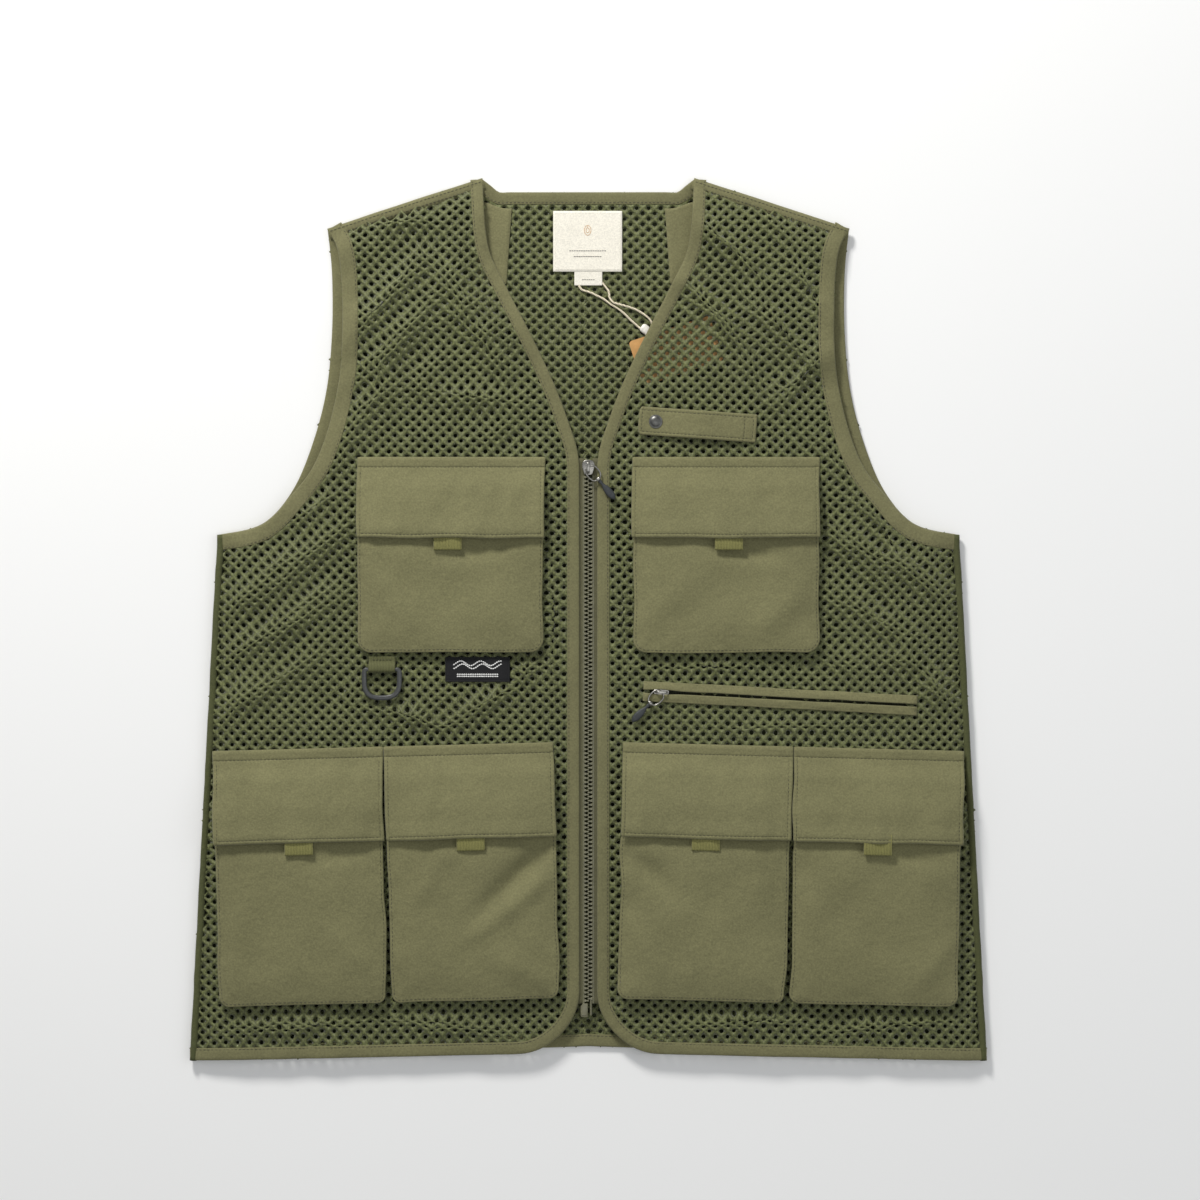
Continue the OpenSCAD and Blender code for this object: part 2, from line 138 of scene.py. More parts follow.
class Maker:
    """Builds a material's nodes in Object coordinates."""

    def __init__(self, name, roughness, metallic=0.0, specular=0.3, sheen=0.0, coat=0.0):
        self.material = bpy.data.materials.new(name)
        self.material.use_nodes = True
        self.tree = self.material.node_tree
        self.shader = self.tree.nodes["Principled BSDF"]
        self.shader.inputs["Roughness"].default_value = roughness
        self.shader.inputs["Metallic"].default_value = metallic
        self.shader.inputs["Specular IOR Level"].default_value = specular
        self.shader.inputs["Sheen Weight"].default_value = sheen
        self.shader.inputs["Sheen Roughness"].default_value = 0.45
        self.shader.inputs["Coat Weight"].default_value = coat
        self.coordinates = self.node("ShaderNodeTexCoord").outputs["Object"]

    def node(self, kind, **settings):
        made = self.tree.nodes.new(kind)
        for key, value in settings.items():
            setattr(made, key, value)
        return made

    def link(self, a, b):
        self.tree.links.new(a, b)

    def scaled(self, scale, turn=0.0):
        mapping = self.node("ShaderNodeMapping")
        mapping.inputs["Scale"].default_value = scale
        mapping.inputs["Rotation"].default_value = (0, 0, turn)
        self.link(self.coordinates, mapping.inputs["Vector"])
        return mapping.outputs["Vector"]

    def noise(self, size_mm, detail=2.0, stretch=(1, 1, 1)):
        noise = self.node("ShaderNodeTexNoise")
        noise.inputs["Scale"].default_value = 1.0
        noise.inputs["Detail"].default_value = detail
        s = 1 / (size_mm * MM)
        self.link(self.scaled([s * k for k in stretch]), noise.inputs["Vector"])
        return noise.outputs["Fac"]

    def wave(self, period_mm, axis="X", turn=0.0, bend=0.6):
        wave = self.node("ShaderNodeTexWave", bands_direction=axis)
        wave.inputs["Scale"].default_value = 1.0
        wave.inputs["Distortion"].default_value = bend
        wave.inputs["Detail"].default_value = 1.0
        s = 2 * math.pi / 20 / (period_mm * MM)
        self.link(self.scaled([s, s, s], turn), wave.inputs["Vector"])
        return wave.outputs["Fac"]

    def math(self, operation, a, b):
        made = self.node("ShaderNodeMath", operation=operation)
        for socket, value in zip(made.inputs, (a, b)):
            if isinstance(value, (int, float)):
                socket.default_value = value
            else:
                self.link(value, socket)
        return made.outputs[0]

    def weave(self, period_mm, turn=0.0):
        return self.math(
            "MAXIMUM",
            self.wave(period_mm, "X", turn),
            self.math("MULTIPLY", self.wave(period_mm, "Y", turn), 0.9),
        )

    def colours(self, factor, stops):
        ramp = self.node("ShaderNodeValToRGB")
        elements = ramp.color_ramp.elements
        while len(elements) < len(stops):
            elements.new(0.5)
        for element, (at, colour) in zip(elements, stops):
            element.position = at
            element.color = (*colour, 1)
        self.link(factor, ramp.inputs["Fac"])
        return ramp.outputs["Color"]

    def mix(self, factor, a, b, blend="MIX"):
        made = self.node("ShaderNodeMix", data_type="RGBA", blend_type=blend)
        for socket, value in ((0, factor), (6, a), (7, b)):
            if isinstance(value, tuple):
                made.inputs[socket].default_value = (*value, 1)
            elif isinstance(value, (int, float)):
                made.inputs[socket].default_value = value
            else:
                self.link(value, made.inputs[socket])
        return made.outputs[2]

    def base(self, colour):
        self.link(colour, self.shader.inputs["Base Color"])

    def rough(self, factor, low, high):
        spread = self.node("ShaderNodeMapRange")
        spread.inputs["To Min"].default_value = low
        spread.inputs["To Max"].default_value = high
        self.link(factor, spread.inputs["Value"])
        self.link(spread.outputs["Result"], self.shader.inputs["Roughness"])

    def bump(self, height, depth_mm, strength=1.0, under=None):
        bump = self.node("ShaderNodeBump")
        bump.inputs["Strength"].default_value = strength
        bump.inputs["Distance"].default_value = depth_mm * MM
        self.link(height, bump.inputs["Height"])
        if under is not None:
            self.link(under, bump.inputs["Normal"])
        self.link(bump.outputs["Normal"], self.shader.inputs["Normal"])
        return bump.outputs["Normal"]


def shade(colour, k):
    return tuple(c * k for c in colour)


def woven(name, colour, period=0.55, wash=0.2, crinkle=0.6, roughness=0.82):
    """Fine plain weave with washed-in crinkles and faint fading."""
    m = Maker(name, roughness, specular=0.25, sheen=0.12)
    wash_noise = m.noise(38, 3)
    fleck = m.noise(1.3, 2)
    broad = m.colours(wash_noise, [(0.3, shade(colour, 1 - wash)), (0.7, shade(colour, 1 + wash))])
    threads = m.colours(m.weave(period), [(0.1, shade(colour, 0.72)), (0.8, shade(colour, 1.12))])
    tone = m.mix(0.4, broad, threads)
    tone = m.mix(0.5, tone, m.colours(fleck, [(0.3, shade(colour, 0.7)), (0.7, shade(colour, 1.3))]))
    m.base(tone)
    m.rough(fleck, roughness - 0.07, roughness + 0.08)
    soft = m.bump(m.noise(5.5, 3), crinkle)
    fine = m.bump(m.noise(1.6, 2), 0.12, under=soft)
    m.bump(m.weave(period), 0.08, under=fine)
    return m.material


def mesh_knit():
    """Shiny knitted mesh yarn, with a fine speckle that is partly knit texture and partly painted highlight
    on its strands.
    """
    colour = (0.093, 0.102, 0.034)
    m = Maker("mesh_fabric", 0.55, specular=0.4, sheen=0.15)
    broad = m.colours(m.noise(55, 3), [(0.3, shade(colour, 0.82)), (0.7, shade(colour, 1.16))])
    # a fine speckle from 0.42 to 1.7 times the yarn's colour: knit texture with painted highlight on the
    # strands
    loops = m.noise(1.1, 3, (1, 0.6, 1))
    loops = m.colours(loops, [(0.32, shade(colour, 0.42)), (0.66, shade(colour, 1.7))])
    m.base(m.mix(0.72, broad, loops))
    m.rough(m.noise(1.1, 2), 0.42, 0.7)
    m.bump(m.noise(0.8, 2, (1, 0.6, 1)), 0.28)
    return m.material


def ribbed(name, colour, period, axis="Y", depth=0.25, roughness=0.75):
    m = Maker(name, roughness, specular=0.3, sheen=0.1)
    ribs = m.wave(period, axis, bend=1.2)
    tone = m.colours(ribs, [(0.15, shade(colour, 0.55)), (0.75, shade(colour, 1.2))])
    fleck = m.colours(m.noise(1.0, 2), [(0.3, shade(colour, 0.75)), (0.7, shade(colour, 1.25))])
    m.base(m.mix(0.4, tone, fleck))
    m.rough(m.noise(2, 2), roughness - 0.1, roughness + 0.1)
    m.bump(m.noise(0.7, 2), 0.1, under=m.bump(ribs, depth))
    return m.material


def thread(name, colour):
    m = Maker(name, 0.55, specular=0.4, sheen=0.2)
    twist = m.wave(0.35, "DIAGONAL", bend=0.3)
    m.base(m.colours(twist, [(0.2, shade(colour, 0.6)), (0.8, shade(colour, 1.3))]))
    m.bump(twist, 0.06)
    return m.material


def plated(name, colour, roughness, wear=0.5):
    """Plated metal: fine scratches and duller patches where it is handled."""
    m = Maker(name, roughness, metallic=1.0, specular=0.5)
    patches = m.noise(2.2, 3)
    m.base(m.colours(patches, [(0.3, shade(colour, 1 - 0.5 * wear)), (0.62, colour)]))
    m.rough(m.noise(0.5, 3, (1, 6, 1)), roughness * 0.7, roughness * 1.5)
    m.bump(m.noise(0.35, 2, (1, 5, 1)), 0.02)
    return m.material


def moulded(name, colour, roughness, grain=0.05):
    m = Maker(name, roughness, specular=0.45)
    m.base(m.colours(m.noise(3, 3), [(0.3, shade(colour, 0.85)), (0.7, shade(colour, 1.15))]))
    m.rough(m.noise(1.2, 3), roughness * 0.8, min(1, roughness * 1.25))
    m.bump(m.noise(0.5, 3), grain)
    return m.material


def fuzzy(name, colour):
    m = Maker(name, 0.95, specular=0.1, sheen=0.4)
    loops = m.noise(0.5, 3)
    m.base(m.colours(loops, [(0.3, shade(colour, 0.5)), (0.7, shade(colour, 1.5))]))
    m.bump(loops, 0.5)
    return m.material


def card():
    m = Maker("tag_card", 0.5, specular=0.4)
    colour = (0.56, 0.30, 0.10)
    m.base(m.colours(m.noise(6, 4), [(0.3, shade(colour, 0.85)), (0.7, shade(colour, 1.1))]))
    m.rough(m.noise(1.5, 3), 0.45, 0.65)
    m.bump(m.noise(0.4, 3), 0.02)
    return m.material


OLIVE = (0.176, 0.168, 0.080)
MAT = {
    "woven_fabric": woven("woven_fabric", OLIVE),
    "binding": woven("binding", shade(OLIVE, 0.90), period=0.7, crinkle=0.45),
    "mesh_fabric": mesh_knit(),
    # near-black cloth: painted shade for parts seen only in shadow through the mesh's holes
    "painted_shade_cloth": woven("painted_shade_cloth", (0.026, 0.030, 0.012), roughness=0.9),
    "webbing": ribbed("webbing", (0.215, 0.205, 0.068), 1.1, "X"),
    "dark_webbing": ribbed("dark_webbing", (0.105, 0.108, 0.042), 1.1, "X"),
    "seam": woven("seam", (0.070, 0.076, 0.028), period=0.7),
    "hook_and_loop": fuzzy("hook_and_loop", (0.05, 0.052, 0.03)),
    "zip_tape": ribbed("zip_tape", (0.105, 0.100, 0.050), 0.8, "Y", 0.12),
    "zip_teeth": moulded("zip_teeth", (0.14, 0.135, 0.08), 0.3, 0.02),
    "pocket_zip": ribbed("pocket_zip", (0.035, 0.036, 0.022), 1.2, "X", 0.3),
    "zip_metal": plated("zip_metal", (0.34, 0.33, 0.30), 0.26),
    "pull_cord": moulded("pull_cord", (0.028, 0.032, 0.034), 0.5),
    "d_ring_plastic": moulded("d_ring_plastic", (0.046, 0.048, 0.047), 0.36),
    "patch": ribbed("patch", (0.006, 0.006, 0.007), 0.5, "Y", 0.08),
    "patch_motif": thread("patch_motif", (0.78, 0.78, 0.76)),
    "label": ribbed("label", (0.86, 0.82, 0.71), 0.6, "Y", 0.06),
    "label_motif": thread("label_motif", (0.62, 0.36, 0.14)),
    "label_lines": thread("label_lines", (0.10, 0.095, 0.085)),
    "string": ribbed("string", (0.70, 0.62, 0.46), 1.1, "DIAGONAL", 0.2),
    "seal_plastic": moulded("seal_plastic", (0.76, 0.73, 0.66), 0.35, 0.02),
    "tag_card": card(),
    "snap_metal": plated("snap_metal", (0.16, 0.16, 0.15), 0.36, 0.7),
    "thread": thread("thread", (0.040, 0.039, 0.020)),
}

# ---------------------------------------------------------------- mesh tools


def piece(name, points, faces, material, smooth=True):
    """A new mesh piece from points in millimetres."""
    mesh = bpy.data.meshes.new(name)
    mesh.from_pydata((np.asarray(points, float) * MM).tolist(), [], [list(f) for f in faces])
    mesh.materials.append(MAT[material])
    mesh.update()
    if smooth:
        mesh.shade_smooth()
    o = bpy.data.objects.new(name, mesh)
    bpy.context.scene.collection.objects.link(o)
    return o


def dressed(o, body, slot, *nodes):
    """Says what a piece moves with and the CAD nodes that it stands for, which it hides; slot is not used.
    """
    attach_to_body(o, body)
    if nodes:
        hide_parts(*nodes)
    return o


def joined(parts):
    """One list of points and one of faces from several."""
    points, faces, n = [], [], 0
    for p, f in parts:
        points.append(np.asarray(p, float).reshape(-1, 3))
        faces += [[i + n for i in face] for face in f]
        n += len(points[-1])
    return np.concatenate(points), faces


def applied(o):
    """Bakes an object's modifiers into its mesh."""
    graph = bpy.context.evaluated_depsgraph_get()
    graph.update()
    made = bpy.data.meshes.new_from_object(o.evaluated_get(graph), depsgraph=graph)
    old, o.data = o.data, made
    o.modifiers.clear()
    bpy.data.meshes.remove(old)
    o.data.shade_smooth()
    return o


def bevelled(o, width_mm, segments=2, angle=0.5):
    bevel = o.modifiers.new("bevel", "BEVEL")
    bevel.width = width_mm * MM
    bevel.segments = segments
    bevel.angle_limit = angle
    return applied(o)


def smoothstep(t):
    t = np.clip(t, 0, 1)
    return t * t * (3 - 2 * t)


def value_noise(x, y, seed):
    """Smooth noise from -1 to 1 that changes over a distance of 1."""
    x, y = np.asarray(x, float), np.asarray(y, float)
    i, j = np.floor(x).astype(np.int64), np.floor(y).astype(np.int64)
    u, v = smoothstep(x - i), smoothstep(y - j)

    def at(a, b):
        n = (a * 374761393 + b * 668265263 + seed * 974634777) & 0x7FFFFFFF
        n = ((n ^ (n >> 13)) * 1274126177) & 0x7FFFFFFF
        return ((n ^ (n >> 16)) & 0xFFFF) / 32767.5 - 1

    top = at(i, j) * (1 - u) + at(i + 1, j) * u
    return top * (1 - v) + (at(i, j + 1) * (1 - u) + at(i + 1, j + 1) * u) * v


def to_segment(x, y, a, b):
    """Each point's distance from the segment a-b, and how far along it is, from 0 to 1."""
    d = np.subtract(b, a)
    along = np.clip(((x - a[0]) * d[0] + (y - a[1]) * d[1]) / (d @ d), 0, 1)
    return np.hypot(x - a[0] - along * d[0], y - a[1] - along * d[1]), along


def run_along(path):
    """The distance from a path's start to each of its points."""
    return np.concatenate([[0], np.cumsum(np.linalg.norm(np.diff(path, axis=0), axis=1))])


def resampled(path, step):
    """The path's points moved to an even spacing, along a smooth curve through them."""
    p = np.asarray(path, float)
    ends = np.concatenate([[2 * p[0] - p[1]], p, [2 * p[-1] - p[-2]]])
    t = np.linspace(0, 1, 8, endpoint=False)[:, None]
    fine = []
    for a, b, c, d in zip(ends, ends[1:], ends[2:], ends[3:]):
        fine.append(0.5 * (2 * b + (c - a) * t + (2 * a - 5 * b + 4 * c - d) * t**2
                           + (3 * b - a - 3 * c + d) * t**3))
    fine = np.concatenate([*fine, p[-1:]])
    run = run_along(fine)
    at = np.linspace(0, run[-1], max(2, int(round(run[-1] / step)) + 1))
    return np.stack([np.interp(at, run, fine[:, k]) for k in range(p.shape[1])], axis=1)


def densified(path, step=7):
    """More points on a path's long straight parts, so a smooth curve through them can't swing out."""
    out = []
    for a, b in zip(path[:-1], path[1:]):
        n = max(1, int(np.linalg.norm(b - a) // step))
        out += [a + (b - a) * k / n for k in range(n)]
    return np.array([*out, path[-1]])


def normals_2d(path, inside):
    """Unit normals of a path in the plane, on the side where the point inside is."""
    t = np.gradient(path, axis=0)
    n = np.stack([-t[:, 1], t[:, 0]], axis=1)
    n /= np.linalg.norm(n, axis=1)[:, None]
    if ((np.asarray(inside) - path.mean(0)) @ n.mean(0)) < 0:
        n = -n
    return n


def tube_faces(rings, sides, closed=False):
    """The faces between rings of points, with a cap on each end unless the last meets the first."""
    faces = []
    for i in range(rings if closed else rings - 1):
        j = (i + 1) % rings
        for k in range(sides):
            l = (k + 1) % sides
            faces.append([i * sides + k, i * sides + l, j * sides + l, j * sides + k])
    if not closed:
        faces.append(list(range(sides - 1, -1, -1)))
        faces.append([(rings - 1) * sides + k for k in range(sides)])
    return faces


def swept(frames, loop, closed=False):
    """A tube: frames is a list of (centre, u, v), and loop the cross-section's (a, b) in u and v."""
    loop = np.asarray(loop, float)
    points = [c + a * u + b * v for c, u, v in frames for a, b in loop]
    return points, tube_faces(len(frames), len(loop), closed)


def around(count):
    """Angles evenly spaced round one turn."""
    return np.linspace(0, 2 * math.pi, count, endpoint=False)


def squared(v, power):
    """A sine or cosine raised to a power with its sign kept, which squares a circle off."""
    return math.copysign(abs(v) ** power, v)


def circle_loop(r, sides):
    return [(r * math.cos(a), r * math.sin(a)) for a in around(sides)]


def frames_along(path, closed=False, up=(0, 0, 1)):
    """(centre, sideways, up) at each point of a path in space."""
    p = np.asarray(path, float)
    if closed:
        t = np.roll(p, -1, axis=0) - np.roll(p, 1, axis=0)
    else:
        t = np.gradient(p, axis=0)
    t /= np.linalg.norm(t, axis=1)[:, None]
    side = np.cross(np.array(up, float), t)
    side /= np.maximum(np.linalg.norm(side, axis=1), 1e-9)[:, None]
    return [(c, s, np.cross(a, s)) for c, a, s in zip(p, t, side)]


def outward(o):
    """Turns every face of a closed piece to look outward."""
    made = bmesh.new()
    made.from_mesh(o.data)
    bmesh.ops.recalc_face_normals(made, faces=made.faces)
    made.to_mesh(o.data)
    made.free()
    o.data.update()
    return o


def solid(name, points, faces, material, smooth=True):
    return outward(piece(name, points, faces, material, smooth))


def stitches(name, lines, material="thread", pitch=3.0, long=2.1, thick=0.30):
    """A row of short threads along each line, each a flattened bead that dips at both ends."""
    rings, sides = 4, 5
    parts = []
    for line in lines:
        line = np.asarray(line, float)
        run = run_along(line)
        count = int(run[-1] / pitch)
        if count < 1:
            continue
        start = (run[-1] - count * pitch) / 2 + pitch / 2
        at = start + pitch * np.arange(count)
        for s in at:
            span = s + np.linspace(-long / 2, long / 2, rings)
            centre = np.stack([np.interp(span, run, line[:, k]) for k in range(3)], axis=1)
            centre[[0, -1], 2] -= 0.35 * thick
            t = centre[-1] - centre[0]
            t /= np.linalg.norm(t)
            side = np.array([-t[1], t[0], 0])
            side /= max(np.linalg.norm(side), 1e-9)
            up = np.cross(t, side)
            size = [0.55, 1, 1, 0.55]
            points = [c + thick * k * (a * side + b * up)
                      for c, k in zip(centre, size) for a, b in circle_loop(1, sides)]
            parts.append((points, tube_faces(rings, sides)))
    points, faces = joined(parts)
    return piece(name, points, faces, material)


# ---------------------------------------------------------------- outlines, from the CAD nodes


def outline(node):
    """The edge of a flat CAD node's top face, as an ordered ring of points in millimetres."""
    mesh = frame["nodes"][node].data
    co = np.array([v.co for v in mesh.vertices]) / MM
    top = co[:, 2].max()
    ids, place = {}, []
    for c in np.round(co, 2):
        place.append(ids.setdefault(tuple(c), len(ids)))
    uses = {}
    for f in mesh.polygons:
        if f.normal.z > 0.9 and all(co[v][2] > top - 0.01 for v in f.vertices):
            ring = [place[v] for v in f.vertices]
            uses.update(dict.fromkeys(zip(ring, ring[1:] + ring[:1])))
    edge = {a: b for a, b in uses if (b, a) not in uses}
    spots = {i: np.array(c[:2]) for c, i in ids.items()}
    rings = []
    while edge:
        first = next(iter(edge))
        ring, at = [], first
        while at in edge:
            ring.append(spots[at])
            at = edge.pop(at)
        rings.append(np.array(ring))
    return rings


def from_to(ring, a, b):
    """The points of a ring from the one nearest a to the one nearest b, the way it runs."""
    i = int(np.argmin(np.linalg.norm(ring - a, axis=1)))
    turned = np.roll(ring, -i, axis=0)
    j = int(np.argmin(np.linalg.norm(turned - b, axis=1)))
    return turned[: j + 1]


def inside_ring(x, y, ring):
    found = np.zeros(np.shape(x), bool)
    for (ax, ay), (bx, by) in zip(ring, np.roll(ring, -1, axis=0)):
        if ay != by:
            crosses = ((ay > y) != (by > y)) & (x < (bx - ax) * (y - ay) / (by - ay) + ax)
            found ^= crosses
    return found


def ring_distance(x, y, ring):
    found = np.full(np.shape(x), 1e9)
    for a, b in zip(ring, np.roll(ring, -1, axis=0)):
        if np.linalg.norm(b - a) > 1e-6:
            found = np.minimum(found, to_segment(x, y, a, b)[0])
    return found


back_ring = max(outline("back_panel"), key=len)
yoke_ring = max((r for r in outline("front_yokes") if r[:, 0].mean() > 0), key=len)
lower_ring = max(outline("front_panel_left"), key=len)
NECK = yoke_ring[np.argmax(yoke_ring[:, 1])]
SHOULDER = yoke_ring[np.argmax(yoke_ring[:, 0])]
HEM = lower_ring[np.argmax(lower_ring[:, 0] - lower_ring[:, 1])]
near_pit = [low_high("front_panel_left")[1][0] - 20, low_high("side_seams")[1][1] + 2]
PIT = lower_ring[np.argmin(np.linalg.norm(lower_ring - near_pit, axis=1))]
JOIN_Y = low_high("front_yokes")[0][1]


def open_at_split(ring, low):
    """A ring without its straight edge at the split, as one open line."""
    y = ring[:, 1].max() if low else ring[:, 1].min()
    on = np.abs(ring[:, 1] - y) < 0.05
    a, b = ring[on][np.argmin(ring[on][:, 0])], ring[on][np.argmax(ring[on][:, 0])]
    i = int(np.argmin(np.linalg.norm(ring - a, axis=1)))
    turned = np.roll(ring, -i, axis=0)
    if np.linalg.norm(turned[1] - b) < np.linalg.norm(turned[-1] - b):
        turned = np.roll(turned[::-1], 1, axis=0)
    keep = [turned[0]]
    for p in turned[1:]:
        keep.append(p)
        if np.linalg.norm(p - b) < 0.05:
            break
    return np.array(keep)


lower_line = open_at_split(lower_ring, True)
upper_line = open_at_split(yoke_ring, False)
front_ring = np.concatenate([lower_line, upper_line[::-1]])


def line_between(ring, a, b, avoid):
    """The way round a ring from a to b that stays away from the point avoid."""
    ways = [from_to(ring, a, b), from_to(ring[::-1], a, b)]
    return max(ways, key=lambda w: np.linalg.norm(w - avoid, axis=1).min())


edge_line = line_between(front_ring, NECK, HEM, PIT)
armhole_line = line_between(front_ring, SHOULDER, PIT, NECK)
back_pit = back_ring[np.argmin(np.linalg.norm(back_ring - PIT, axis=1))]
back_armhole_line = line_between(back_ring, SHOULDER, back_pit, NECK)
back_neck_line = line_between(back_ring, NECK * [-1, 1], NECK, HEM)
back_hem_line = line_between(back_ring, HEM * [-1, 1], HEM, NECK)

# ---------------------------------------------------------------- the cloth's height

FRONT_Z = middle("front_panel_left")[2]
BACK_Z = middle("back_panel")[2]
YARN = 0.5
SIDE_FALL, SHOULDER_FALL = 3.3, 2.6

# Folds in the left front, then in the right: from, to, half width and height
FOLDS_LEFT = [
    ((78, 296), (130, 244), 9, 4.4), ((62, 256), (120, 192), 9, 4.6), ((120, 232), (172, 178), 8, 3.6),
    ((150, 262), (176, 214), 7, 3.2), ((176, 196), (136, 158), 7, 3.0), ((182, 62), (262, 16), 10, 4.6),
    ((178, 20), (246, -22), 10, 4.2), ((196, 92), (232, 40), 8, 3.0), ((206, -24), (272, -62), 9, 4.0),
    ((178, -28), (232, -72), 8, 3.0), ((40, -36), (120, -34), 7, 2.2), ((96, -76), (190, -74), 8, 3.0),
    ((60, -298), (150, -288), 8, 3.2), ((170, -300), (262, -290), 8, 3.0), ((24, 60), (28, -60), 6, 1.8),
    ((276, -70), (283, -240), 7, 2.4),
]
FOLDS_RIGHT = [
    ((-176, 204), (-122, 262), 9, 4.8), ((-174, 168), (-112, 232), 9, 4.0),
    ((-112, 262), (-62, 204), 9, 4.6), ((-104, 236), (-60, 180), 8, 3.4),
    ((-182, 128), (-134, 186), 8, 3.6), ((-120, 168), (-50, 158), 8, 3.2),
    ((-160, 290), (-110, 290), 7, 2.6), ((-266, 4), (-180, 66), 10, 4.8), ((-270, -34), (-180, 24), 10, 4.6),
    ((-274, -74), (-196, -24), 9, 3.8), ((-216, 70), (-186, 92), 7, 3.0), ((-98, -76), (-34, -30), 9, 4.2),
    ((-172, -52), (-104, -80), 8, 3.6), ((-28, 60), (-26, -60), 6, 1.8),
    ((-262, -300), (-166, -290), 8, 3.2),
    ((-150, -290), (-60, -300), 8, 3.2), ((-274, -90), (-283, -250), 7, 2.4),
]


def fold_height(x, y):
    found = np.zeros(np.shape(x))
    for a, b, width, height in FOLDS_LEFT + FOLDS_RIGHT:
        d, along = to_segment(x, y, a, b)
        d = d + 3 * value_noise(x / 14, y / 14, 5)
        found += 1.25 * height * np.exp(-(d / width) ** 2) * np.sin(np.pi * (0.12 + 0.76 * along))
    diagonal = (x * np.sign(x + 1e-9) * 0.7 + y * 0.7) / 13
    across = (x * np.sign(x + 1e-9) * 0.7 - y * 0.7) / 46
    creases = value_noise(diagonal, across, 11)
    found += creases * (0.7 + 0.9 * smoothstep((y + 90) / 60))
    found += 0.9 * value_noise(x / 60, y / 60, 3) + 0.35 * value_noise(x / 17, y / 17, 8)
    return found


def beyond(node, x, y):
    """How far each point lies past a CAD node's box, along x and along y."""
    low, high = low_high(node)
    return np.maximum(low[0] - x, x - high[0]), np.maximum(low[1] - y, y - high[1])


def flat_spots(x, y):
    """1 where the cloth is free to fold, down to 0 beside the stiff pieces sewn to it."""
    free = smoothstep((np.abs(x) - 14) / 22)
    stiff = ("webbing_loop", "d_ring", "snap_cap", "snap_strap", "strap_base", "patch_label")
    for node, least, reach in [(n, 0, 14) for n in stiff] + [("welts", 0.15, 16)]:
        dx, dy = beyond(node, x, y)
        away = np.hypot(np.maximum(0, dx), np.maximum(0, dy))
        free = np.minimum(free, least + (1 - least) * smoothstep(away / reach))
    for kind in ("chest", "inner", "outer"):
        for who in SIDES:
            away = np.maximum(*beyond(f"{kind}_pocket_{who}", x, y))
            free = np.minimum(free, 0.03 + 0.97 * smoothstep((away - 1) / 13))
    return free


def edge_fall(x, y):
    ax = np.abs(x)
    side = to_segment(ax, y, PIT, HEM)[0]
    shoulder = to_segment(ax, y, NECK, SHOULDER)[0]
    return np.exp(-(side / 13) ** 2), np.exp(-(shoulder / 9) ** 2)


def front_height(x, y):
    """The middle of the front cloth's thickness."""
    x, y = np.asarray(x, float), np.asarray(y, float)
    side, shoulder = edge_fall(x, y)
    rise = np.clip(fold_height(x, y), -2.2, 7.5) * flat_spots(x, y)
    return FRONT_Z + rise * (1 - 0.75 * side) - SIDE_FALL * side - SHOULDER_FALL * shoulder


def back_height(x, y):
    x, y = np.asarray(x, float), np.asarray(y, float)
    side, shoulder = edge_fall(x, y)
    waves = 0.7 + 0.6 * value_noise(x / 45, y / 45, 21) + 0.3 * value_noise(x / 15, y / 22, 22)
    return BACK_Z + 0.5 + np.clip(waves, 0, 1.4) * 0.5 + 2.0 * side + 1.8 * shoulder


# ---------------------------------------------------------------- mesh fabric

HALF_X, HALF_Y, HOLE = 4.4, 3.95, 1.46
RIM = [(math.cos(math.pi * k / 4), math.sin(math.pi * k / 4)) for k in range(8)]
CORNER = [(2, 0), (1, 1), (0, 2), (-1, 1), (-2, 0), (-1, -1), (0, -2), (1, -1)]


